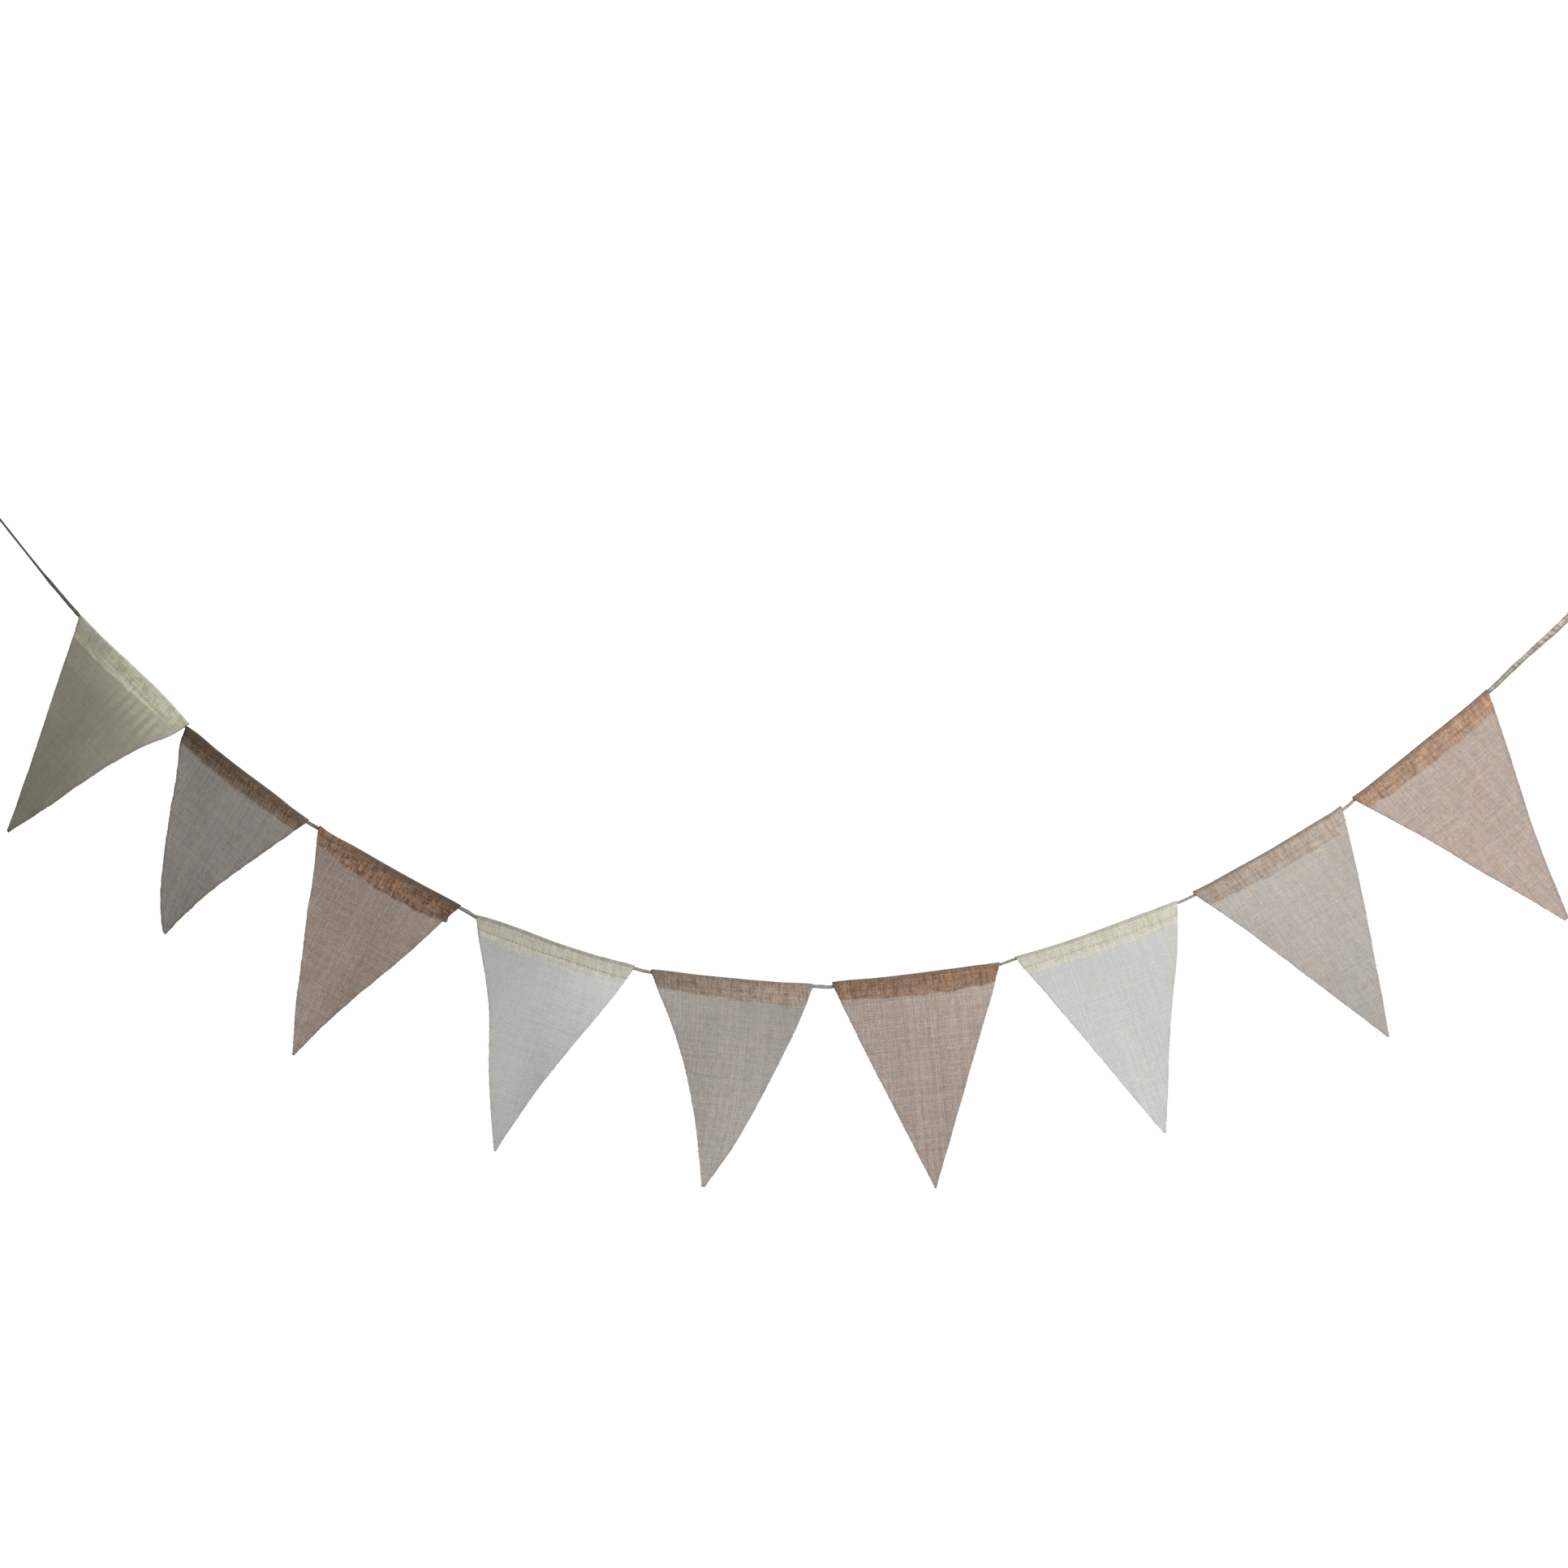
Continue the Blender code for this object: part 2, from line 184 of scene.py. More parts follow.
# How far each long side stands out past its straight line, at these parts of the depth, left and right.
SIDE_PARTS = (0.0, 0.08, 0.2, 0.4, 0.6, 0.8, 0.95)
SIDE_ROWS = (
    ((0.3, 0.1, -0.4, -0.9, -1.0, -0.7, -0.9), (1.0, 2.9, 0.7, 0.6, 2.1, 3.0, 1.4)),
    ((0.6, 3.3, -0.3, -1.7, -1.6, 1.3, 2.7), (0.3, 0.7, 0.1, -0.5, -0.6, -0.6, -0.9)),
    ((0.2, 0.0, -0.8, 0.5, 0.6, 1.7, 0.4), (0.0, 0.2, 2.1, 3.0, 1.0, -0.8, -0.8)),
    ((1.2, 2.5, 0.8, -1.4, -0.6, -0.5, -0.6), (0.2, 0.3, -0.6, -1.1, -0.4, 0.6, 0.0)),
    ((0.6, 1.0, -0.3, -1.2, -1.1, -0.9, -0.4), (1.0, 1.4, 1.4, 0.5, 1.2, 1.8, 1.2)),
    ((1.8, 2.0, 2.0, 1.6, 0.9, 0.4, -0.1), (1.2, 1.6, 1.0, 0.2, -0.2, -0.7, -1.0)),
    ((0.0, 0.1, -0.3, -0.6, -0.8, -0.2, 0.6), (1.4, 2.2, 2.5, 0.1, -1.0, -0.5, -1.0)),
    ((0.0, -0.4, -1.1, -0.6, 0.1, 0.3, 0.2), (0.4, 0.4, 0.3, 0.3, -0.6, -0.8, -1.2)),
    ((0.0, -0.2, -0.7, -0.7, 0.5, 0.2, 0.8), (0.4, 0.6, 1.0, 0.4, -0.5, 0.0, 0.8)),
)

# How far the top fold stands up from the cord's line, at these places across, from -1 at the left to 1 at the
# right.
FOLD_PLACES = (-1.0, -0.9, -0.5, 0.0, 0.5, 0.9, 1.0)
FOLD_ROWS = (
    (0.0, 0.1, 0.3, 1.2, 2.0, 1.1, 0.6),
    (-2.2, -1.4, -1.0, -0.2, 0.6, -0.3, -0.5),
    (0.5, -0.6, -0.6, -0.8, -0.6, 0.0, 0.0),
    (-1.6, -0.2, 1.1, 0.3, 0.3, 0.9, 0.2),
    (-0.2, -0.1, -0.7, -0.7, -0.6, -0.4, -0.6),
    (-0.2, 0.0, -0.6, -0.3, 0.0, -0.3, -1.2),
    (0.1, -0.3, -1.1, -0.6, -0.2, -0.3, -0.3),
    (0.8, 0.7, 0.8, 0.6, 0.9, 0.9, 0.8),
    (0.4, 0.1, 0.1, 0.8, 0.9, 1.2, 1.2),
)

# The cord's distance from its left loop, its half width there and how far it rides over its line.
CORD_ROWS = (
    (0.0, 0.95, 0.0), (23.0, 0.92, -0.15), (58.0, 0.92, -0.3), (72.0, 1.08, -0.3), (83.0, 1.52, -0.1),
    (105.0, 1.50, 0.6), (118.0, 1.60, 0.8), (125.0, 1.2, 0.6), (136.0, 1.0, 0.1), (250.0, 1.0, 0.0),
    (259.0, 1.0, -1.7), (272.0, 1.0, -1.3), (293.0, 1.0, -0.9), (330.0, 1.0, -0.2), (380.0, 1.0, -0.2),
    (394.4, 1.4, -0.7), (400.0, 1.5, -0.5), (406.0, 1.4, -0.4), (414.0, 1.0, -0.8), (512.0, 1.0, -0.7),
    (548.0, 1.3, -0.3), (556.0, 1.7, -0.5), (565.0, 1.55, -1.4), (574.0, 1.0, -0.9), (590.0, 1.0, 0.0),
    (700.0, 1.0, 0.0), (709.0, 1.25, 0.2), (717.0, 1.36, -0.5), (724.6, 1.3, -0.8), (740.0, 1.0, -0.6),
    (850.0, 1.0, -0.6), (863.0, 1.3, -0.4), (870.0, 1.45, -0.9), (877.0, 1.45, -1.9), (883.0, 1.3, -1.9),
    (898.0, 1.0, -0.8), (920.0, 1.0, -0.5), (990.0, 1.0, 0.0), (1021.9, 1.0, -0.9), (1029.0, 1.07, -0.5),
    (1036.0, 1.05, 0.0), (1072.0, 1.0, -0.8), (1110.0, 1.0, -0.4), (1178.9, 1.0, -0.2), (1188.0, 1.08, -0.3),
    (1196.0, 1.05, -0.3), (1220.0, 1.0, 0.3), (1320.0, 1.0, 0.3), (1337.4, 1.15, -0.6), (1344.0, 1.2, -0.6),
    (1350.0, 1.15, -0.2), (1380.0, 1.0, 0.1), (1470.0, 1.0, 0.8), (1488.0, 1.5, 1.0), (1497.0, 2.0, 0.9),
    (1512.0, 2.05, 1.3), (1535.0, 2.1, 0.8), (1550.0, 2.3, 0.3), (1563.0, 2.6, -0.3), (1589.0, 2.5, 0.0),
)

# The same distance and how light the cord is there, darker to the left.
CORD_LIGHT = (
    (0.0, 0.14), (60.0, 0.13), (110.0, 0.17), (258.0, 0.13), (330.0, 0.15), (400.0, 0.235), (556.0, 0.31),
    (717.0, 0.385), (872.0, 0.34), (1188.0, 0.33), (1344.0, 0.37), (1500.0, 0.315), (1550.0, 0.39),
)

# How each pennant is sewn, in millimetres.
# flap_wave: how far the flap's raw edge wanders; side_wave: the same for the two long sides.
# seam_left, seam_right: depth of the row of stitches under the cord.
# crumple: height of the small creases below the hem; ripple: share of the long soft waves.
SEWING_COLUMNS = ("kind", "flap_wave", "side_wave", "seam_left", "seam_right", "crumple", "ripple")
SEWING_ROWS = (
    ("unbleached", 1.0, 0.10, 9.6, 7.0, 0.42, 1.3),
    ("taupe", 0.6, 0.20, 8.8, 9.2, 0.0, 1.0),
    ("brown", 1.2, 0.10, 8.4, 9.4, 0.0, 0.7),
    ("cream", 0.5, 0.08, 9.6, 9.4, 0.0, 1.0),
    ("taupe", 0.6, 0.10, 8.6, 9.2, 0.0, 0.6),
    ("brown", 0.6, 0.10, 9.0, 9.0, 0.0, 0.7),
    ("cream", 0.5, 0.08, 9.2, 9.8, 0.0, 0.4),
    ("taupe", 1.1, 0.10, 9.0, 8.8, 0.0, 0.8),
    ("brown", 1.2, 0.10, 8.8, 9.2, 0.0, 1.0),
)

# How light each piece of cloth came out: partly its own colour, partly light and shade painted into it.
# tone: of all of it, partly its own colour and partly painted light.
# across, down: painted light, how much lighter it grows to the right and to the tip.
# hem_tone, hem_warmth, hem_contrast: how light, warm and mottled its double hem is, partly its own colour
# and partly painted shade for the light that two layers let through less.
# hem_across: painted light, how much lighter the hem grows to the right.
# hem_bars: how strongly lines along the fold show.
# fold_dark, fold_reach: how dark the cord makes the fold and how far down: the cord seen through the cloth
# and its painted shadow in the casing.
# fold_left: how much of that dark is left at the left end.
# edge_left, edge_right: how light the long raw edges are, partly frayed edge and partly painted shade.
# under_hem: painted light, how light the cloth is just below the hem.
# weave, hem_weave: how much its threads differ; cloud: how much large patches of it differ.
SHADE_COLUMNS = (
    "tone", "across", "down", "hem_tone", "hem_warmth", "hem_contrast", "hem_across",
    "hem_bars", "fold_dark", "fold_reach", "fold_left", "edge_left", "edge_right", "under_hem", "weave",
    "hem_weave", "cloud",
)
SHADE_ROWS = (
    (0.80, 0.20, -0.23, 1.24, 0.1, 0.20, -0.07, 1.4, 0.20, 4.6, 1.0, 0.83, 0.85, 1.20, 1.0, 1.0, 0.06),
    (1.28, 0.02, 0.47, 0.62, 3.3, 0.48, 0.24, 0.3, 0.62, 4.6, 1.0, 0.72, 0.80, 1.0, 1.1, 1.1, 0.05),
    (1.06, 0.03, 0.18, 1.18, 2.3, 0.62, -0.26, 0.3, 0.93, 8.5, 0.30, 0.90, 0.87, 1.0, 1.0, 0.7, 0.015),
    (1.05, 0.21, -0.18, 0.99, 0.0, 0.12, -0.14, 0.3, 0.62, 4.6, 1.0, 0.93, 0.96, 1.0, 1.7, 1.0, 0.045),
    (1.19, -0.12, 0.30, 1.08, 0.68, 0.36, 0.29, 0.1, 0.50, 4.6, 1.0, 0.96, 0.95, 1.0, 1.0, 0.7, 0.02),
    (1.06, 0.08, -0.07, 0.98, 0.88, 0.42, -0.06, 0.1, 0.50, 4.6, 1.0, 0.92, 0.96, 1.0, 1.25, 0.9, 0.02),
    (1.105, 0.01, 0.12, 1.03, 0.0, 0.12, 0.0, 0.2, 0.30, 4.6, 1.0, 0.96, 0.96, 1.0, 1.3, 0.9, 0.004),
    (1.005, -0.05, -0.17, 1.073, -0.5, 0.22, 0.12, 0.1, 0.55, 4.6, 1.0, 0.93, 0.93, 1.0, 0.75, 0.9, 0.02),
    (0.985, -0.03, 0.0, 1.24, -0.25, 0.34, 0.05, 0.1, 0.62, 5.4, 1.0, 0.92, 0.85, 1.0, 0.75, 0.9, 0.02),
)

# Stitches and loose threads
STITCH_PITCH = 3.4
STITCH_LENGTH = 2.8
STITCH_RADIUS = 0.26
STITCH_INSET = 2.0
STITCH_RISE = 0.12
STITCH_ARCH = 0.30
STITCH_RINGS = 6
STITCH_SIDES = 6
LOOSE_THREAD_COUNT = 26
LOOSE_THREAD_RADIUS = 0.15
LOOSE_THREAD_TAPER = 0.55
LOOSE_THREAD_RINGS = 9
LOOSE_THREAD_SIDES = 5
HEM_THREAD_REACH = 0.93

# Loop bindings
BINDING_TURNS = 8
BINDING_THREAD = 0.36
BINDING_START = 1.5
BINDING_RINGS_A_TURN = 24
BINDING_SIDES = 8
BINDING_SPREAD = 0.8
BINDING_ROUNDNESS = 2.6

# Weave, in millimetres
WARP_PITCH = 1.15
WEFT_PITCH = 1.10
WEFT_EVENNESS = 0.8
FRAY = 0.3

# Noise in the cloth: its size across and along in millimetres, what is added to the seed, its detail and
# roughness
CLOTH_NOISE = {
    "wander": (7.0, 7.0, 0.0, 1.0, 0.5),
    "patch": (3.2, 3.2, 3.0, 3.0, 0.6),
    "cloud": (45.0, 45.0, 5.0, 2.0, 0.5),
    "streak": (1.5, 12.0, 7.0, 1.0, 0.5),
    "bar": (26.0, 2.0, 8.0, 1.0, 0.5),
    "blotch": (5.0, 5.0, 9.0, 1.0, 0.5),
    "speck": (1.6, 2.2, 11.0, 1.0, 0.5),
    "dye": (9.0, 9.0, 13.0, 3.0, 0.65),
}

# Colours
# Each cloth's hem colour, where it lies double, is partly the doubled cloth's own and partly painted shade
# for the light that two layers let through less.
CLOTHS = {
    # Each cloth's line along the flap's raw edge is painted: above 1 a painted highlight, below 1 painted
    # shade.
    "unbleached": {
        "slot": "cream_cloth", "light": (0.605, 0.575, 0.45), "dark": (0.46, 0.435, 0.333),
        "hem": (0.74, 0.72, 0.54), "thread": (0.62, 0.58, 0.44), "painted_flap_edge_line": 1.14, "uneven_dye": 0.035,
    },
    "cream": {
        "slot": "cream_cloth", "light": (0.62, 0.625, 0.595), "dark": (0.53, 0.535, 0.51),
        "hem": (0.66, 0.64, 0.52), "thread": (0.50, 0.43, 0.34), "painted_flap_edge_line": 1.05, "uneven_dye": 0.03,
    },
    "taupe": {
        "slot": "taupe_cloth", "light": (0.52, 0.475, 0.435), "dark": (0.34, 0.30, 0.265),
        "hem": (0.395, 0.305, 0.235), "thread": (0.45, 0.37, 0.31), "painted_flap_edge_line": 0.95, "uneven_dye": 0.06,
    },
    "brown": {
        "slot": "brown_cloth", "light": (0.53, 0.43, 0.375), "dark": (0.31, 0.225, 0.18),
        "hem": (0.335, 0.205, 0.133), "thread": (0.40, 0.30, 0.23), "painted_flap_edge_line": 0.92, "uneven_dye": 0.08,
    },
}
LIGHT_PATCH_TINT = (-0.20, 0.0, 0.35)
# The cord's grey seen through the fold, which also paints the cord's shadow in the casing.
CORD_AND_SHADOW_SEEN_THROUGH = (0.18, 0.17, 0.155)
SEAM_ALONG_CUT = 11.9
CORD_LEFT_TINT = (1.0, 0.96, 0.84)
CORD_RIGHT_TINT = (1.05, 0.93, 0.80)
BINDING_COLOUR = (0.30, 0.26, 0.22)


# Shape of the cord's line and of the hung cloth

def table(columns, rows):
    """Each row as a dictionary with the columns' names."""
    return [dict(zip(columns, row)) for row in rows]


def smooth_step(x):
    """0 to 1 with level ends."""
    x = np.clip(x, 0.0, 1.0)
    return x * x * (3.0 - 2.0 * x)


def unit(degrees):
    """Unit vector in the XZ plane at an angle over +X."""
    a = math.radians(degrees)
    return np.array((math.cos(a), math.sin(a)))


def line_corners(pennants):
    """Both ends and the middle of every top fold and the two loop bases, from left to right, as X and Z."""
    points = [np.array(LEFT_LOOP_BASE)]
    for row in pennants:
        start = np.array((row["x"], row["z"]))
        end = start + row["width"] * unit(row["slope"])
        points.append(start)
        points.append(0.5 * (start + end) + row["sag"] * unit(row["slope"] - 90.0))
        points.append(end)
    points.append(np.array(RIGHT_LOOP_BASE))
    return np.array(points)


def smooth_line(corners):
    """The cord's centre line at 1 mm steps: straight runs between the corners, rounded where they meet."""
    at = arc_lengths(corners)
    along = np.linspace(0.0, at[-1], int(at[-1]) + 1)
    line = np.stack([np.interp(along, at, corners[:, k]) for k in (0, 1)], axis=1)
    reach = int(3 * CORD_SMOOTHING)
    weights = np.exp(-0.5 * (np.arange(-reach, reach + 1) / CORD_SMOOTHING) ** 2)
    weights /= weights.sum()
    first = line[0] - np.arange(reach, 0, -1)[:, None] * (line[1] - line[0])
    last = line[-1] + np.arange(1, reach + 1)[:, None] * (line[-1] - line[-2])
    padded = np.concatenate((first, line, last))
    return np.stack([np.convolve(padded[:, k], weights, "valid") for k in (0, 1)], axis=1)


def arc_lengths(points):
    """Distance along a line of points from its first one."""
    return np.concatenate(([0.0], np.cumsum(np.linalg.norm(np.diff(points, axis=0), axis=1))))


def directions(points):
    """Unit vector along a line of points at each of them."""
    along = np.gradient(points, axis=0)
    return along / np.linalg.norm(along, axis=1)[:, None]


def sideways(along):
    """The unit vectors at a right angle to those of a line in the XZ plane, to its left."""
    return np.stack((-along[:, 1], along[:, 0]), axis=1)


def ring_angles(sides):
    """Even angles round a ring of this many sides."""
    return np.linspace(0.0, TURN, sides, endpoint=False)


class CarryingLine:
    """The cord between its loops, as straight steps of about CORD_SPACING."""

    def __init__(self, pennants):
        smooth = smooth_line(line_corners(pennants))
        along = arc_lengths(smooth)
        count = int(round(along[-1] / CORD_SPACING)) + 1
        stations = np.linspace(0.0, along[-1], count)
        self.points = np.stack([np.interp(stations, along, smooth[:, k]) for k in (0, 1)], axis=1)
        self.along = arc_lengths(self.points)

    def at(self, distance):
        """X and Z at a distance along the cord."""
        return [np.interp(distance, self.along, self.points[:, k]) for k in (0, 1)]

    def nearest(self, point):
        """Distance along the cord of the place nearest to a point."""
        fine = np.linspace(0.0, self.along[-1], CORD_SEARCH_STEPS)
        x, z = self.at(fine)
        return fine[np.argmin((x - point[0]) ** 2 + (z - point[1]) ** 2)]


def flap_depth(flap, u):
    """Depth of the raw edge across the flap: a parabola through its left, middle and right depths."""
    left, middle, right = flap["left"], flap["middle"], flap["right"]
    return middle + 0.5 * (right - left) * u + (0.5 * (left + right) - middle) * u * u


def half_width(row, t):
    """Half of the cloth's width at depth t: straight from the fold to the tip, less the drawn-in sides."""
    part = np.clip(t / row["depth"], 0.0, 1.0)
    straight = 0.5 * row["width"] * (1.0 - part) + 0.5 * TIP_WIDTH * part
    return straight - row["hollow"] * 4.0 * part * (1.0 - part)


def cloth_surface(row, line, s, t, n):
    """World position of cloth at s across from its middle, t down from the cord and n behind its plane.

    The middle line starts on the cord and turns evenly on its way down: sideways by swing and bow, to the
    front by the lean. Across it the cloth lies on an arc that tightens from the cord downwards, turned a
    little about the middle line. Along its top the cloth follows the cord's own curve.
    """
    part = np.clip(t / row["depth"], 0.0, 1.0)
    steps = np.linspace(0.0, 1.0, MIDDLE_LINE_STEPS + 1)
    side = math.radians(row["swing"]) + 4.0 * row["bow"] / row["depth"] * (1.0 - 2.0 * steps)
    side += TURN * row["sway"] / row["depth"] * np.cos(TURN * steps)
    lean = np.radians(row["lean_top"] + (row["lean_tip"] - row["lean_top"]) * steps)
    run = np.stack((np.sin(side) * np.cos(lean), -np.sin(lean), -np.cos(side) * np.cos(lean)))
    moved = np.zeros_like(run)
    moved[:, 1:] = np.cumsum(0.5 * (run[:, 1:] + run[:, :-1]), axis=1) * row["depth"] / MIDDLE_LINE_STEPS
    middle = [np.interp(part, steps, moved[k]) for k in range(3)]
    down = [np.interp(part, steps, run[k]) for k in range(3)]
    over = np.minimum(t, 0.0) + np.maximum(t - row["depth"], 0.0)
    middle = [middle[k] + over * down[k] for k in range(3)]

    turn = np.radians(row["turn"]) * part
    across = (np.cos(turn), np.sin(turn), np.zeros_like(turn))
    normal = (
        across[1] * down[2] - across[2] * down[1],
        across[2] * down[0] - across[0] * down[2],
        across[0] * down[1] - across[1] * down[0],
    )
    size = np.sqrt(normal[0] ** 2 + normal[1] ** 2 + normal[2] ** 2)
    normal = [component / size for component in normal]

    bend = row["curl"] * MM * smooth_step(CURL_RAMP * part) + ALMOST_FLAT
    to_side = np.sin(bend * s) / bend
    forward = (1.0 - np.cos(bend * s)) / bend
    local = []
    for k in range(3):
        back = np.cos(bend * s) * normal[k] + np.sin(bend * s) * across[k]
        local.append(middle[k] + to_side * across[k] - forward * normal[k] + n * back)
    local[0] = local[0] - s

    cord_x, cord_z = line.at(line.nearest((row["x"], row["z"])) + 0.5 * row["width"] + s)
    ahead = unit(row["slope"])
    x = cord_x + local[0] * ahead[0] - local[2] * ahead[1]
    z = cord_z + local[0] * ahead[1] + local[2] * ahead[0]
    return np.stack((x, local[1], z), axis=-1)


def loop_points(base, outward, side, apart, length, half):
    """Centre line of an end loop, from its base out, round and back beside the standing part.

    The loop is a drop: out by half a cosine wave, sideways by a sine that starts gently at both ends. The end
    comes back at the strand gap and lies along the standing part.
    """
    phase = np.linspace(0.0, TURN, LOOP_POINTS + 1)[1:]
    out = length * 0.5 * (1.0 - np.cos(phase))
    wide = half * np.sin(phase) * np.sin(0.5 * phase) - apart * phase / TURN
    out = np.concatenate((out, (-0.5 * TURNED_BACK_END, -TURNED_BACK_END)))
    wide = np.concatenate((wide, (-apart, -apart)))
    return np.array(base) + out[:, None] * outward + wide[:, None] * side


def loop_frames(line):
    """Both ends of the line: base, way outwards, side the loop returns on, strands' distance and radius."""
    ends = []
    for first, second, turn, radius in LOOP_ENDS:
        outward = line.points[first] - line.points[second]
        outward /= np.linalg.norm(outward)
        side = turn * np.array((outward[1], -outward[0]))
        ends.append((line.points[first], outward, side, 2.0 * radius + STRAND_GAP, radius))
    return ends


def curve_through(at, places, values):
    """A rounded curve's value at each place.

    Between two given values it is the cubic whose slope at each of them is that of their neighbours.
    """
    places, values = np.asarray(places, dtype=float), np.asarray(values, dtype=float)
    slope = np.gradient(values, places)
    k = np.clip(np.searchsorted(places, at, side="right") - 1, 0, len(places) - 2)
    span = places[k + 1] - places[k]
    x = np.clip((at - places[k]) / span, 0.0, 1.0)
    return (
        (2.0 * x ** 3 - 3.0 * x ** 2 + 1.0) * values[k] + (x ** 3 - 2.0 * x ** 2 + x) * span * slope[k]
        + (3.0 * x ** 2 - 2.0 * x ** 3) * values[k + 1] + (x ** 3 - x ** 2) * span * slope[k + 1]
    )


def cord_route(line):
    """The cord's centre line in X and Z with its half width, lightness and distance along, at even steps.

    It runs from the left loop's end along the line to the right loop's end. Between the loops it rides over
    or under the line by the amounts in CORD_ROWS.
    """
    (*left_frame, _), (*right_frame, _) = loop_frames(line)
    left = loop_points(*left_frame, LEFT_LOOP_LENGTH, LEFT_LOOP_HALF_WIDTH)
    right = loop_points(*right_frame, RIGHT_LOOP_LENGTH, RIGHT_LOOP_HALF_WIDTH)
    near = np.array(STRAIGHT_NEAR_LOOP)
    standing = np.sort(np.concatenate((line.along, near, line.along[-1] - near)))
    points = np.concatenate((left[::-1], np.stack(line.at(standing), axis=1), right))
    places = arc_lengths(points)
    fine = np.linspace(0.0, places[-1], int(places[-1] / CORD_RING_STEP) + 1)
    route = np.stack([curve_through(fine, places, points[:, k]) for k in (0, 1)], axis=1)
    distance = fine - places[len(left)]
    at, half, ride = (np.array(column) for column in zip(*CORD_ROWS))
    inside = (distance > 0.0) & (distance < at[-1])
    route = route + (curve_through(distance, at, ride) * inside)[:, None] * sideways(directions(route))
    return route, np.interp(distance, at, half), np.interp(distance, *zip(*CORD_LIGHT)), fine


# Meshes

def grid_faces(rows, columns, closed=False):
    """Corner numbers of the quads of a grid of points, with the last column joined to the first if closed."""
    number = np.arange(rows * columns).reshape(rows, columns)
    if closed:
        number = np.concatenate((number, number[:, :1]), axis=1)
    corners = (number[:-1, :-1], number[1:, :-1], number[1:, 1:], number[:-1, 1:])
    return np.stack(corners, axis=-1).reshape(-1, 4)


def capped_tubes(tubes, rings, sides):
    """Quads of several tubes that each have closed ends: rows of rings, with a fan of quads over each end."""
    side = grid_faces(rings, sides, closed=True)
    fan = np.array([(0, k, k + 1, min(k + 2, sides - 1)) for k in range(1, sides - 2, 2)])
    start = fan[:, ::-1]
    end = fan + (rings - 1) * sides
    one = np.concatenate((side, start, end))
    shift = np.arange(tubes)[:, None, None] * rings * sides
    return (one[None] + shift).reshape(-1, 4)


def add_piece(name, points, faces, material, uv=None, values=None, outward=False):
    """A piece on the body, from arrays of points in millimetres and of faces, with its maps."""
    mesh = bpy.data.meshes.new(name)
    quads = [tuple(dict.fromkeys(face)) for face in faces.tolist()]
    mesh.from_pydata((points.reshape(-1, 3) * MM).tolist(), [], quads)
    corner = np.empty(len(mesh.loops), dtype=np.int32)
    mesh.loops.foreach_get("vertex_index", corner)
    if uv is not None:
        layer = mesh.uv_layers.new(name="cut")
        layer.data.foreach_set("uv", uv.reshape(-1, 2)[corner].astype(np.float32).ravel())
    for key, value in (values or {}).items():
        attribute = mesh.attributes.new(key, "FLOAT", "POINT")
        attribute.data.foreach_set("value", value.astype(np.float32).ravel())
    if outward:
        work = bmesh.new()
        work.from_mesh(mesh)
        bmesh.ops.recalc_face_normals(work, faces=work.faces[:])
        work.to_mesh(mesh)
        work.free()
    mesh.shade_smooth()
    mesh.materials.append(material)
    piece = bpy.data.objects.new(name, mesh)
    bpy.context.scene.collection.objects.link(piece)
    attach(piece, BODY)
    return piece


def laid_flat(cut):
    """Size and area of a sheet laid flat, from its grid of distances across and along the cut, in metres.

    The area is the sum over the grid's quads of half the cross product of each one's diagonals. Sizes are
    rounded to whole millimetres.
    """
    falling = cut[1:, 1:] - cut[:-1, :-1]
    rising = cut[:-1, 1:] - cut[1:, :-1]
    area = 0.5 * np.abs(falling[..., 0] * rising[..., 1] - falling[..., 1] * rising[..., 0]).sum()
    return [round(float(side), 3) for side in np.ptp(cut.reshape(-1, 2), axis=0)], round(float(area), 6)


def waves(rng, at, kind):
    """A smooth wandering value along a distance: a sum of sines of seeded lengths and phases."""
    height, count, shortest, longest = WAVES[kind]
    lengths = rng.uniform(shortest, longest, count)
    phases = rng.uniform(0.0, TURN, count)
    at = np.asarray(at, dtype=float)
    return height * (np.sin(TURN * at[..., None] / lengths + phases).sum(axis=-1) / math.sqrt(count))


